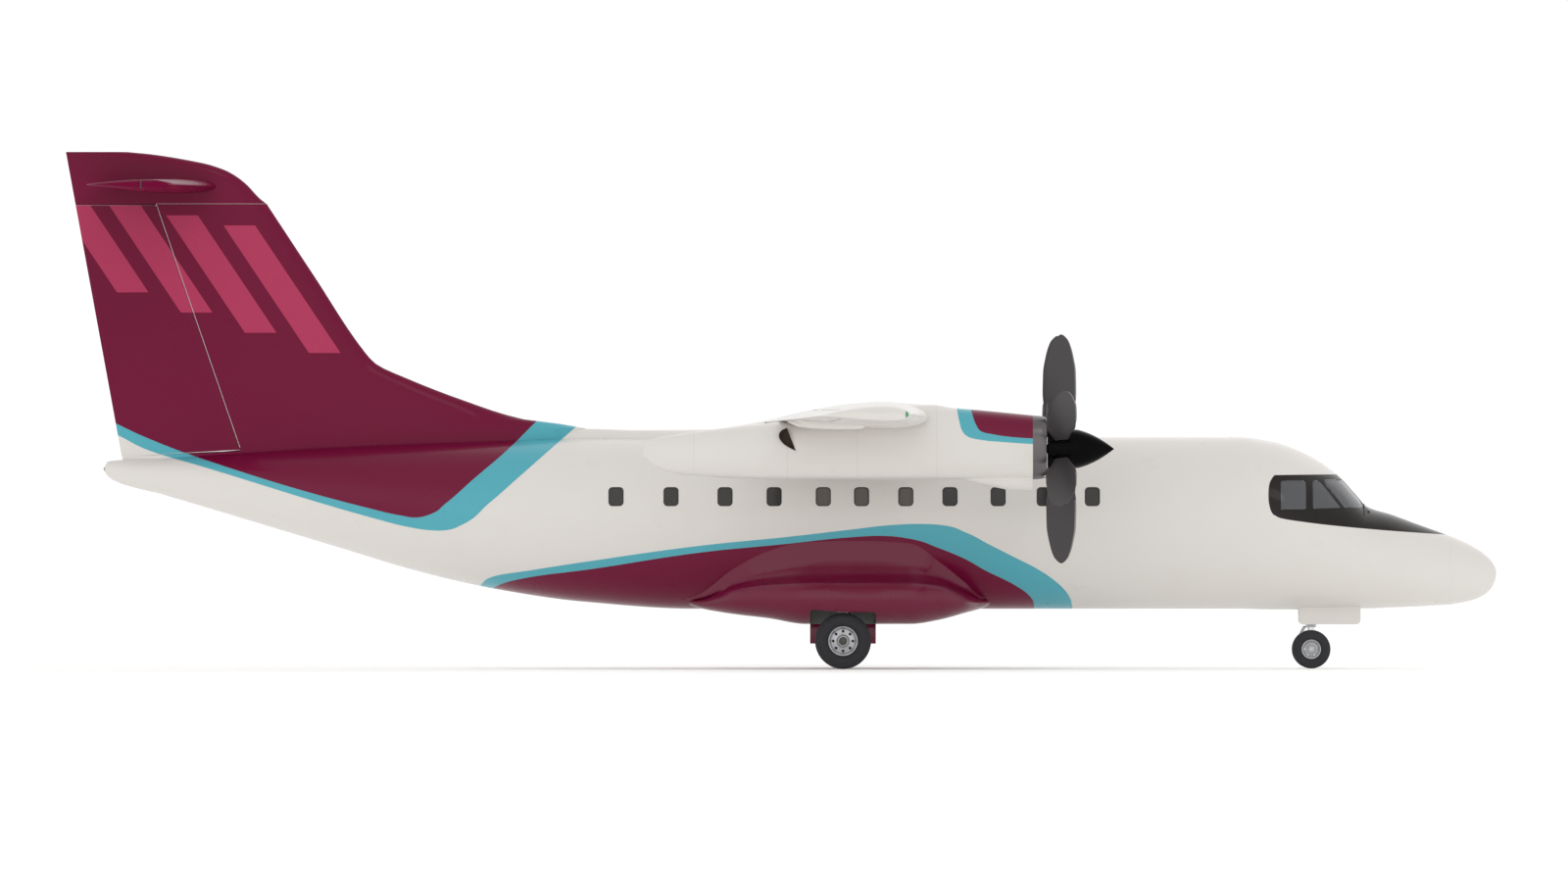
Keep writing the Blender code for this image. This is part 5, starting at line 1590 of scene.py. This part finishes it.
rims = {
    # bore, number of holes and their radius
    "main": (0.0566, 8, 0.022),
    "nose": (0.036, 6, 0.012),
}


def circle(count, radius, first=0.0):
    # points spaced evenly round a circle
    angles = [math.tau * (index + first) / count for index in range(count)]
    return [(radius * math.cos(angle), radius * math.sin(angle)) for angle in angles]


def tube(points, radius, steps=12, smooth=4):
    # a round tube along a smooth path through the points
    points = [Vector(point) for point in points]
    path = []
    spans = zip((points[0], *points), points, points[1:], (*points[2:], points[-1]))
    for before, near, far, after in spans:
        for step in range(smooth):
            share = step / smooth
            square, cube = share ** 2, share ** 3
            path.append(
                near * (2 * cube - 3 * square + 1)
                + (far - before) * 0.5 * (cube - 2 * square + share)
                + far * (3 * square - 2 * cube)
                + (after - near) * 0.5 * (cube - square)
            )
    path.append(points[-1])
    frames = []
    up = (path[1] - path[0]).normalized().orthogonal()
    for behind, point, ahead in zip((path[0], *path), path, (*path[1:], path[-1])):
        along = (ahead - behind).normalized()
        up = (up - along * up.dot(along)).normalized()
        frames.append((point, up, along.cross(up)))

    def pointAt(value, turn):
        point, first, second = frames[value]
        angle = math.tau * turn
        return point + (first * math.cos(angle) + second * math.sin(angle)) * radius

    return gridSkin(range(len(frames)), steps, pointAt)


def tyreShape(kind, centre):
    radius, half, bead, shoulder, grooves, groove = tyres[kind]
    wall, crown = shoulder - bead, radius - shoulder
    profile = [
        (bead, half * 0.66),
        (bead + 0.01, half * 0.8),
        (bead + wall * 0.35, half * 0.955),
        (bead + wall * 0.42, half * 0.965),
        (bead + wall * 0.45, half * 0.985),
        (shoulder, half),
        (shoulder + crown * 0.3, half * 0.975),
        (shoulder + crown * 0.58, half * 0.9),
        (shoulder + crown * 0.8, half * 0.77),
        (radius - 0.005, half * 0.6),
    ]
    deep, edge = radius - 0.009, radius - 0.0015
    for place in grooves:
        profile += [(edge, place + groove + 0.002), (deep, place + groove)]
        profile += [(deep, place - groove), (edge, place - groove - 0.002)]
    profile = [point for point in profile if point[1] > 0]
    profile += [(at, -across) for at, across in reversed(profile)]
    return turned(profile, centre, (0, 1, 0), 72, ring=True)


def rimShape(kind, centre, side):
    # outer face towards the given side
    half, bead = tyres[kind][1:3]
    bore, count, size = rims[kind]
    bead -= 0.0006
    seat, web, hub = half * 0.66, half * 0.3, bore + 0.034
    profile = (
        (bead, seat - 0.002),
        (bead, -seat + 0.002),
        (bead, -seat - 0.006),
        (bead - 0.012, -seat - 0.01),
        (bead - 0.02, -seat + 0.004),
        (bead - 0.026, -half * 0.2),
        (hub + 0.03, -half * 0.05),
        (hub, -half * 0.4),
        (bore, -half * 0.42),
        (bore, half * 0.62),
        (hub - 0.012, half * 0.62),
        (hub, half * 0.5),
        (hub + 0.012, web + 0.01),
        (hub + 0.04, web),
        (bead - 0.05, web * 0.8),
        (bead - 0.026, half * 0.5),
        (bead - 0.016, seat + 0.006),
        (bead - 0.004, seat + 0.008),
    )
    rim = turned(profile, (0, 0, 0), (0, 1, 0), 72, ring=True)
    middle = (hub + 0.012 + bead - 0.026) / 2
    shapes = [carved(rim, [merged([crossRod(x, 0, z, half, size, 20) for x, z in circle(count, middle)])])]
    for x, z in circle(count * 2, hub + 0.018, 0.5):
        shapes.append(rod((x, web, z), (x, web + 0.012, z), 0.006, steps=6))
    rim = moved(merged(shapes), Matrix.Translation(centre) @ Matrix.Diagonal((1, side, 1, 1)))
    if side < 0:
        bmesh.ops.reverse_faces(rim, faces=rim.faces)
    return rim


def torqueLinks(x, y, arms, offset, share, thick, margin):
    # two pairs of forged arms thinned in the middle; the lower pair stands closer together
    plates = []
    for side in (-1, 1):
        for arm, reach in zip(arms, (offset, offset * share)):
            low, high = about(y + side * reach, thick / 2)
            bm = plate([(x + ahead, z) for ahead, z in arm], low, high, 0.012, 3)
            for face in [face for face in bm.faces if abs(face.normal.y) > 0.9]:
                bmesh.ops.inset_region(bm, faces=[face], thickness=margin, depth=0.0)
                bmesh.ops.inset_region(bm, faces=[face], thickness=0.003, depth=-0.004)
            plates.append(bm)
    return plates


def buildMainGear(name, side):
    x, y, height = mainGear["x"], side * mainGear["strut"], mainGear["height"]
    wheelY, out, up = side * mainGear["wheel"], (0, side, 0), (0, 0, 1)
    leg = [
        turned(mainGear["shell"], (x, y, 0), up, 48),
        box(about(x, 0.085), about(y, 0.07), (height - 0.09, height + 0.1), 0.022, 3),
        rod((x, y, height + 0.08), (x, y, height + 0.14), 0.075, 0.06, 32),
        rod((x, y, 0.95), (x + 0.42, y, 1.46), 0.03),
        *(crossRod(x + ahead, y, z, 0.055, 0.046, rounding=0.006) for ahead, z in mainGear["brace"]),
        *(box((x - 0.13, x - 0.05), about(y, 0.028), about(z, 0.028), 0.008) for z in (0.735, 0.49)),
        *torqueLinks(x, y, mainGear["links"], 0.04, 0.5, 0.018, 0.01),
    ]
    replaced = (f"main_gear_leg_{name}",)
    keep(merged(leg), f"main_gear_strut_{name}", gearEnamel, replaced=replaced)
    inner, outer = (x, y - side * 0.075, height), (x, wheelY + side * 0.115, height)
    steel = [
        rod((x, y, height + 0.1), (x, y, 0.68), 0.058, steps=48),
        rod(inner, outer, 0.0545, steps=48, rounding=0.006),
    ]
    keep(merged(steel), f"main_gear_piston_{name}", chromeSteel)
    pins = [crossRod(x + ahead, y, z, 0.066, 0.016, 16, 0.003) for ahead, z in mainGear["pins"]]
    keep(merged(pins), f"main_gear_pins_{name}", steelDark)

    brake = [turned(mainGear["discs"], (x, y + side * 0.078, height), out, 64, ring=True)]
    brake.append(tinted(turned(mainGear["carrier"], (x, y + side * 0.058, height), out, 48, ring=True), 1))
    for ahead, rise in circle(6, 0.125, 0.5):
        ends = [(x + ahead, y + side * reach, height + rise) for reach in (0.05, 0.082)]
        brake.append(tinted(rod(*ends, 0.024, rounding=0.004), 1))
    keep(merged(brake), f"main_brake_{name}", [brakeCarbon, wheelMetal])
    hoses = [
        tube([(x + ahead, y + side * across, z) for ahead, across, z in path], radius)
        for radius, path in mainGear["hoses"]
    ]
    keep(merged(hoses), f"main_brake_hoses_{name}", hoseRubber)

    centre, wheel = (x, wheelY, height), f"main_wheel_{name}"
    tyre = tyreShape("main", centre)
    keep(tyre, f"main_tyre_tread_{name}", tyreRubber, wheel, (f"main_tyre_{name}",))
    rim = rimShape("main", centre, side)
    keep(rim, f"main_wheel_rim_{name}", wheelMetal, wheel, (f"main_rim_{name}",))
    cap = turned(mainGear["cap"], (x, wheelY + side * 0.1172, height), out, 40)
    keep(cap, f"main_hub_cap_{name}", steelDark, wheel)


def buildNoseGear():
    x, height, up = noseGear["x"], noseGear["height"], (0, 0, 1)
    shell = turned(noseGear["shell"], (x, 0, 0), up, 48)
    bmesh.ops.holes_fill(shell, edges=[edge for edge in shell.edges if edge.is_boundary], sides=0)
    leg = [
        shell,
        rod((x + 0.05, 0, 0.946), (x + 0.55, 0, 1.41), 0.028),
        crossRod(x, 0, 1.24, 0.27, 0.04, 28, 0.006),
        crossRod(x + 0.55, 0, 1.41, 0.14, 0.032, 28, 0.006),
    ]
    for side in (-1, 1):
        y = side * 0.125
        leg.append(rod((x - 0.12, y, 0.918), (x + 0.12, y, 0.918), 0.034, steps=28, rounding=0.008))
        leg.append(box(about(x, 0.045), (side * 0.08, side * 0.12), about(0.918, 0.033), 0.008))
    keep(merged(leg), "nose_gear_strut", gearEnamel, replaced=("nose_gear_leg",))
    ahead, level = noseGear["lamp"]
    shell, glass = (
        turned(noseGear[profile], (x + ahead, 0, level), (1, 0, -0.05), 36)
        for profile in ("lampShell", "lampGlass")
    )
    bracket = box((x + 0.06, x + 0.11), about(0, 0.018), about(level, 0.015), 0.004)
    keep(merged([shell, bracket, tinted(glass, 1)]), "taxi_lamp", [bareAluminium, clearLens])

    steel = [
        rod((x, 0, height + 0.03), (x, 0, 1.0), 0.0545, steps=48),
        crossRod(x, 0, height, 0.27, 0.0343, 40, 0.004),
    ]
    forged = [
        box(about(x, 0.062), about(0, 0.062), (height - 0.058, height + 0.062), 0.02, 3),
        rod((x, 0, height + 0.05), (x, 0, height + 0.1), 0.066, 0.058, 36),
        box((x - 0.02, x + 0.12), about(0, 0.038), about(height, 0.036), 0.012, 3),
        crossRod(x + 0.085, 0, height, 0.044, 0.02),
        box((x - 0.115, x - 0.045), about(0, 0.024), (height + 0.06, height + 0.104), 0.008),
        turned(noseGear["collar"], (x, 0, 0), up, 48, ring=True),
        box((x - 0.12, x - 0.07), about(0, 0.024), (0.646, 0.678), 0.006),
        *torqueLinks(x, 0, noseGear["links"], 0.036, 0.55, 0.014, 0.007),
    ]
    fork = merged(steel + [tinted(piece, 1) for piece in forged])
    finishes, body = [chromeSteel, gearEnamel], "nose_steering"
    keep(fork, "nose_gear_piston", finishes, body, ("nose_gear_fork",))
    for name, side in sides:
        y, body = side * noseGear["wheel"], "nose_wheels"
        tyre = tyreShape("nose", (x, y, height))
        keep(tyre, f"nose_tyre_tread_{name}", tyreRubber, body, (f"nose_tyre_{name}",))
        cap = turned(noseGear["cap"], (x, y + side * 0.087, height), (0, side, 0), 32)
        rim = merged([rimShape("nose", (x, y, height), side), cap])
        keep(rim, f"nose_wheel_rim_{name}", wheelMetal, body, (f"nose_rim_{name}",))

        heights, faces = noseGear["door"]
        door = plate(rectangle(noseBay["x"], heights), *sorted(side * face for face in faces), 0.07)
        skin = moved(hullSkin(spread(7.6, 10.0, 40)), Matrix.Translation((0, 0, -hairGap)))
        door, replaced = carved(door, [skin]), (f"nose_gear_door_{name}",)
        keep(door, f"nose_gear_door_panel_{name}", hullPaint, replaced=replaced)


for sideName, sideSign in sides:
    buildMainGear(sideName, sideSign)
buildNoseGear()
print("landing gear built")


# Cockpit

seat = {
    "y": 0.46,
    "cushion": ((7.82, 8.29), 0.225, (1.955, 2.045)),  # along, half width, heights
    "back": ((7.735, 2.02), (7.625, 2.6), 0.205, 0.095),  # foot, head, half width, thickness
    "headRest": ((7.602, 7.678), 0.115, (2.63, 2.8)),
    "voxel": 0.012,
    "swell": 0.016,
    "restSwell": 0.01,
    "pressure": 4.0,
    "frames": 20,
    "frame": (
        # along, across from the middle, heights, rounding: foot, column, pan, arm rests with posts
        ((7.88, 8.2), (-0.15, 0.15), (1.5505, 1.6), 0.012),
        ((7.92, 8.14), (-0.1, 0.1), (1.59, 1.93), 0.03),
        ((7.81, 8.295), (-0.235, 0.235), (1.93, 1.958), 0.01),
        ((7.78, 8.08), (-0.244, -0.224), (2.18, 2.205), 0.006),
        ((7.78, 7.81), (-0.244, -0.224), (2.0, 2.19), 0.005),
        ((7.78, 8.08), (0.22, 0.24), (2.18, 2.205), 0.006),
        ((7.78, 7.81), (0.22, 0.24), (2.0, 2.19), 0.005),
    ),
    "belt": (
        ((7.9, 8.0), (-0.232, -0.222), (2.052, 2.056), 0.001),
        ((8.02, 8.08), (-0.03, 0.03), (2.058, 2.07), 0.004),
    ),
}


def padded(bm, swell):
    # a stuffed pad blown up a little by cloth pressure, with its move capped
    pad = tempObject(bm)
    remesh = pad.modifiers.new("remesh", "REMESH")
    remesh.mode = "VOXEL"
    remesh.voxel_size = seat["voxel"]
    base = applied(pad)
    start = [vert.co.copy() for vert in base.verts]
    pad = tempObject(base)
    cloth = pad.modifiers.new("stuffing", "CLOTH")
    cloth.settings.use_pressure = True
    cloth.settings.uniform_pressure_force = seat["pressure"]
    cloth.settings.effector_weights.gravity = 0.0
    scene = bpy.context.scene
    for frameNumber in range(1, seat["frames"] + 1):
        scene.frame_set(frameNumber)
    result = applied(pad)
    for vert, home in zip(result.verts, start):
        move = vert.co - home
        if move.length > swell:
            vert.co = home + move.normalized() * swell
    scene.frame_set(1)
    return result


def beside(y, rows):
    # boxes from rows of limits, moved across to the place y
    return [box(x, (y + low, y + high), z, rounding) for x, (low, high), z, rounding in rows]


def buildSeats():
    (xLow, xHigh), half, (zLow, zHigh) = seat["cushion"]
    (footX, footZ), (headX, headZ), backHalf, thick = seat["back"]
    slope, tall = math.atan2(headX - footX, headZ - footZ), math.hypot(headX - footX, headZ - footZ)
    lean = Matrix.Translation((footX + 0.005, 0, footZ)) @ Matrix.Rotation(slope, 4, "Y")
    cushion = box((xLow + 0.01, xHigh - 0.01), about(0, half - 0.01), (zLow + 0.01, zHigh - 0.012), 0.025, 3)
    back = moved(box((0.012, thick - 0.012), about(0, backHalf), (0.01, tall), 0.025, 3), lean)
    restX, restHalf, restZ = seat["headRest"]
    rest = box(restX, about(0, restHalf), restZ, 0.022, 3)
    meshes = {}
    for label, shape, swell in (
        ("seat_cushion", cushion, seat["swell"]),
        ("seat_back_cushion", back, seat["swell"]),
        ("head_rest", rest, seat["restSwell"]),
    ):
        meshes[label] = bpy.data.meshes.new("pad")
        pad = padded(shape, swell)
        pad.to_mesh(meshes[label])
        pad.free()
    for name, side in sides:
        y = side * seat["y"]
        for label, mesh in meshes.items():
            shape = bmesh.new()
            shape.from_mesh(mesh)
            shape = moved(shape, Matrix.Translation((0, y, 0)))
            piece = keep(shape, f"{label}_{name}", seatFabric, sharp=80)
        shell = box((-0.004, 0.012), about(0, 0.215), (0.0, tall + 0.01), 0.006)
        frameParts = beside(y, seat["frame"]) + [moved(shell, Matrix.Translation((0, y, 0)) @ lean)]
        frameParts += [rod((7.632, at, 2.55), (7.62, at, 2.68), 0.008, steps=12) for at in about(y, 0.06)]
        replaced = (f"pilot_seat_{name}",)
        keep(merged(frameParts), f"seat_frame_{name}", panelPlastic, replaced=replaced)
        keep(merged(beside(y, seat["belt"])), f"seat_buckle_{name}", bareAluminium)


cockpit = {
    "panel": ((8.765, 1.96), (8.99, 1.96), (9.03, 2.3), (8.9, 2.335), (8.79, 2.3)),
    "pedestal": ((8.26, 1.5505), (8.93, 1.5505), (8.93, 2.07), (8.72, 2.07), (8.3, 1.86), (8.26, 1.8)),
    "shade": ((8.765, 2.3), (8.8, 2.325), (9.03, 2.338), (9.03, 2.31), (8.83, 2.296)),
    "screens": (-0.52, -0.29, 0.0, 0.29, 0.52),
    "screenHalf": 0.098,
    "column": ((8.6, 1.5505), (8.59, 1.75), (8.54, 1.98), (8.5, 2.1)),
    "yoke": (8.478, 2.12, 0.13, 0.075),  # place along, height, half width and depth
    "pedals": (-0.09, 0.09),
}


def buildPanel():
    panel = plate(cockpit["panel"], -0.69, 0.69, 0.012, 3)
    pedestal = plate(cockpit["pedestal"], -0.135, 0.135, 0.015, 3)
    panel = merged([panel, pedestal, plate(cockpit["shade"], -0.695, 0.695)])
    keep(panel, "cockpit_panel", panelPlastic, replaced=("instrument_panel",))
    glass, metal = [], []
    lean = Matrix.Translation((8.768, 0, 2.13)) @ Matrix.Rotation(math.radians(4.5), 4, "Y")
    wide = cockpit["screenHalf"]
    for y in cockpit["screens"]:
        metal.append(moved(box((-0.006, 0.01), about(y, wide), about(0, 0.115), 0.004), lean))
        glass.append(moved(box((-0.008, 0.0), about(y, wide - 0.014), about(0, wide), 0.002), lean))
    for index in range(12):
        row, column = divmod(index, 4)
        at = Vector((8.5 + 0.055 * column, 0.08 * (row - 1), 1.995 + 0.0275 * column))
        metal.append(rod(at, at + Vector((-0.012, 0, 0.024)), 0.009, steps=12))
    for y in (-0.03, 0.03):
        metal.append(rod((8.62, y, 2.0), (8.57, y, 2.12), 0.007, steps=12))
        metal.append(box((8.555, 8.595), about(y, 0.018), (2.11, 2.135), 0.006))
    x, level, half, deep = cockpit["yoke"]
    for _, side in sides:
        y = side * seat["y"]
        metal.append(tube([(at, y, z) for at, z in cockpit["column"]], 0.017, 16))
        yoke = [
            (x, y + half * math.cos(angle), level + deep * math.sin(angle))
            for angle in spread(math.pi, math.tau, 12)
        ]
        metal.append(tube([(x, y - half, level + 0.08), *yoke, (x, y + half, level + 0.08)], 0.013, 12, 2))
        metal.append(rod((8.5, y, 2.06), (x, y, 2.05), 0.02, steps=16))
        for pedal in cockpit["pedals"]:
            metal.append(box((8.86, 8.885), about(y + pedal, 0.045), (1.64, 1.78), 0.006))
            metal.append(rod((8.88, y + pedal, 1.5505), (8.88, y + pedal, 1.66), 0.012, steps=12))
    keep(merged(metal), "cockpit_controls", blackEnamel)
    keep(merged(glass), "cockpit_displays", screenGlass)


buildSeats()
buildPanel()
print("cockpit built")


# Fillets and seals round the rudder

rudderSeals = {
    "swing": math.radians(25),
    "clearance": 0.002,  # between the fillets' ridges and the rudder at any swing
    "roof": 0.14,  # the fillets fall away to each side, as the slanted hinge tips the rudder when it swings
    "line": 0.0045,  # radius of the pale seal along the hinge
    "capLine": 0.004,
}


def strip(stations, halfAt, steps):
    # a closed skin along X; half its outline runs from the bottom up at each station, in y and z
    def pointAt(x, turn):
        half = halfAt(x)
        outline = [*half, *((-y, z) for y, z in reversed(half))]
        place = turn * len(outline)
        index = min(int(place), len(outline) - 1)
        near, far = Vector(outline[index]), Vector(outline[(index + 1) % len(outline)])
        return Vector((x, *near.lerp(far, place - index)))

    return gridSkin(stations, steps, pointAt)


def buildRudderSeals():
    (frontX, frontZ), (backX, backZ) = fin["rudderFoot"]
    (lowX, lowZ), (highX, highZ) = fin["hinge"]
    hinge = Vector((highX - lowX, highZ - lowZ)).normalized()
    clearance, roof = rudderSeals["clearance"], rudderSeals["roof"]

    def footZ(x):
        return backZ + (frontZ - backZ) * (x - backX) / (frontX - backX)

    def skinHalf(x, z):
        nose, chord, _, thickness = finLine(z)
        return airfoilHalf(max(0.0, min(1.0, (nose - x) / chord))) * thickness

    def halfAt(x, z):
        return fin["noseRadius"] if x > slantAt(fin["hinge"], z) else skinHalf(x, z)

    def dip(x, z):
        # how far the rudder's end sinks at its middle as it swings about the slanted hinge
        reach = (slantAt(fin["hinge"], z) - x) * hinge.y
        if reach <= 0.001:
            return 0.0
        slope = min(math.tan(rudderSeals["swing"]), halfAt(x, z) / reach)
        return -hinge.x * reach * (math.hypot(1, slope) - 1)

    # a fillet on the tail cone carries the rudder's lines down to the skin
    footLevel = 3.42
    nose, chord, _, _ = finLine(footLevel)
    end = nose - chord + 0.02

    def filletAt(x):
        ridge = footZ(x) - clearance - dip(x, footLevel)
        base = hullRow(x)[1] - 0.09
        half = max(0.004, halfAt(x, footLevel) - 0.002)
        shoulder = ridge - roof * half
        flare = 0.05 * min(1.0, max(0.0, x - end) / 0.6)
        middle = (half + 0.35 * flare, (base + shoulder) / 2)
        return (half + flare, base), middle, (half, shoulder), (0.0, ridge)

    keep(strip(spread(end, shroudEdge(footLevel) - 0.002, 60), filletAt, 40), "rudder_fillet", tailPaint)

    # the foot of the fin cap comes down to the rudder's head
    high, head = fin["tipRows"][0][0], fin["rudderTop"]
    back = slantAt(fin["trail"], high) + 0.004

    def skirtAt(x):
        half = max(0.003, skinHalf(x, head) - 0.0006)
        low = head + 0.0014 + max(0.0, 0.03 * (x - slantAt(fin["hinge"], head)))
        return (0.0, low), (half, low + roof * half), (half, high + 0.001)

    keep(strip(spread(back, shroudEdge(high) - 0.001, 40), skirtAt, 24), "fin_cap_skirt", tailPaint)

    # a pale seal along each edge of the fin at the hinge
    seals = []
    for side in (-1, 1):
        path = []
        for z in spread(3.5, 7.355, 12):
            x = shroudEdge(z) + 0.6 * rudderSeals["line"]
            path.append((x, side * (skinHalf(x, z) - 0.001), z))
        seals.append(tube(path, rudderSeals["line"], 8, 1))
    keep(merged(seals), "rudder_hinge_seals", paleSeal)

    # a bead of sealant where the cap meets the fin, ahead of the rudder
    _, edge, thickness = fin["tipRows"][0]
    levels = about(high, rudderSeals["capLine"] / 2)
    bead = ringSkin(levels, lambda z: finRing(z, edge + 0.002, thickness + 0.003))
    bead = carved(bead, [box((-12.0, shroudEdge(high)), about(0, 1.0), about(high, 0.1))])
    keep(bead, "fin_cap_sealant", paleSeal)


buildRudderSeals()
print("rudder seals built")


# Lamps, wipers and small fittings

fittings = {
    "tipLens": ((1.93, 2.1), 12.54),  # the part of the wing tip's nose that is lens
    "lensProud": 0.003,
    "tailLens": (-10.69, 3.16, 0.05),
    "wiper": {"pivot": (9.31, 0.4), "joint": (9.2, 0.34), "blade": ((9.235, 0.1), (9.235, 0.6))},
    # painted shade for the gap between each elevator and the tailplane's tip, as a small dark block on the
    # hinge line: place along, place across, width and half height
    "tipGapShade": (-10.07, 3.949, 0.018, 0.068),
}


def proud(bm, lift):
    # every point moved out along its normal
    bm.normal_update()
    for vert in bm.verts:
        vert.co += vert.normal * lift
    return bm


def skinOver(x, y, lift):
    # a point over the upper skin of the fuselage
    _, top, _, half, widest, power = hullRow(x)
    up = (1 - (abs(y) / half) ** power) ** (1 / power)
    return Vector((x, y, widest + (top - widest) * up + lift))


def buildFittings():
    lensX, lensInner = fittings["tipLens"]
    x, y, wide, tall = fittings["tipGapShade"]
    for (name, side), material in zip(sides, (redLens, greenLens)):
        stations = [side * at for at in crowded(wing["tipFrom"], wing["tipEnd"], 24)]
        tip = proud(ringSkin(stations, wingTipRing), fittings["lensProud"])
        lens = carved(tip, [box(lensX, (side * lensInner, side * 13.0), (3.6, 4.3), 0.03)], "INTERSECT")
        keep(lens, f"tip_lamp_{name}", material)
        # a dark block at the tailplane's tip on the hinge line: painted shade standing for the gap there
        mark = box(about(x, wide / 2), about(side * y, 0.006), about(tail["height"], tall), 0.002)
        keep(mark, f"elevator_gap_shade_{name}", steelDark)

    x, z, radius = fittings["tailLens"]
    lens = bmesh.new()
    place = Matrix.Translation((x, 0, z))
    bmesh.ops.create_uvsphere(lens, u_segments=32, v_segments=16, radius=radius, matrix=place)
    keep(lens, "tail_lamp", clearLens)

    wiper = fittings["wiper"]
    (startX, startY), (endX, endY) = wiper["blade"]
    arms, blades = [], []
    for _, side in sides:
        pivot, joint = (skinOver(x, side * y, 0.012) for x, y in (wiper["pivot"], wiper["joint"]))
        foot, head = (pivot + Vector((0, 0, rise)) for rise in (-0.03, 0.006))
        arms.append(rod(foot, head, 0.018, 0.015, 20, 0.003))
        arms.append(rod(pivot, joint, 0.006, 0.004, 12))
        places = zip(spread(startX, endX, 8), spread(startY, endY, 8))
        blades.append(tube([skinOver(x, side * y, 0.007) for x, y in places], 0.006, 8, 2))
    keep(merged(arms), "wiper_arms", blackEnamel)
    keep(merged(blades), "wiper_blades", hoseRubber)


buildFittings()
print("fittings built")


# Studio

studio = {
    "world": (1.06, 0.82),  # brightness at the horizon and overhead
    "floor": "#FAFAF9",
    "floorLight": 0.14,
    "floorHalf": 600.0,
    "suns": (
        # strength, softness in degrees, direction the light travels
        (0.2, 60, (0.0, 1.0, -0.1)),
        (0.1, 14, (-0.3, 0.66, -0.72)),
        (0.25, 60, (-0.1, -0.9, -0.75)),
    ),
    "camera": (0.047, -524.6, 3.605),
    "lens": 760.0,
}


def buildStudio():
    scene = bpy.context.scene
    half = studio["floorHalf"]
    bm = bmesh.new()
    bmesh.ops.create_grid(bm, x_segments=1, y_segments=1, size=half)
    mesh = bpy.data.meshes.new("studio_floor")
    bm.to_mesh(mesh)
    bm.free()
    floor = bpy.data.objects.new("studio_floor", mesh)
    scene.collection.objects.link(floor)
    # opal acrylic over soft lamps, as the photo's aircraft has white all round it
    light = {"Emission_Color": rgb(studio["floor"]), "Emission_Strength": studio["floorLight"]}
    mesh.materials.append(plainFinish("opal_acrylic_floor", studio["floor"], 0.9, 0.05, 0.0, **light))

    world = bpy.data.worlds.new("studio")
    world.use_nodes = True
    tree = world.node_tree
    background = tree.nodes["Background"]
    background.inputs["Color"].default_value = rgb("#FFFFFF")
    # the soft light comes more from the sides than from overhead
    toSky = addNode(tree, "ShaderNodeTexCoord", {}, {}).outputs["Generated"]
    upward = addNode(tree, "ShaderNodeSeparateXYZ", {}, {"Vector": toSky}).outputs["Z"]
    low, high = studio["world"]
    strength = addNode(tree, "ShaderNodeMapRange", {}, {
        "Value": upward, "From Min": 0.1, "From Max": 0.8, "To Min": low, "To Max": high,
    })
    tree.links.new(strength.outputs["Result"], background.inputs["Strength"])
    scene.world = world
    for index, (strength, softness, direction) in enumerate(studio["suns"]):
        lamp = bpy.data.lights.new(f"soft_sun_{index}", "SUN")
        lamp.energy = strength
        lamp.angle = math.radians(softness)
        sun = bpy.data.objects.new(f"soft_sun_{index}", lamp)
        sun.rotation_euler = Vector(direction).to_track_quat("-Z", "Y").to_euler()
        scene.collection.objects.link(sun)

    lens = bpy.data.cameras.new("camera")
    lens.sensor_width = 36.0
    lens.lens = studio["lens"]
    lens.clip_start = 1.0
    lens.clip_end = 1500.0
    camera = bpy.data.objects.new("camera", lens)
    camera.location = studio["camera"]
    camera.rotation_euler = (math.pi / 2, 0.0, 0.0)
    scene.collection.objects.link(camera)
    scene.camera = camera
    scene.view_settings.view_transform = "Standard"


buildStudio()
print("studio built")
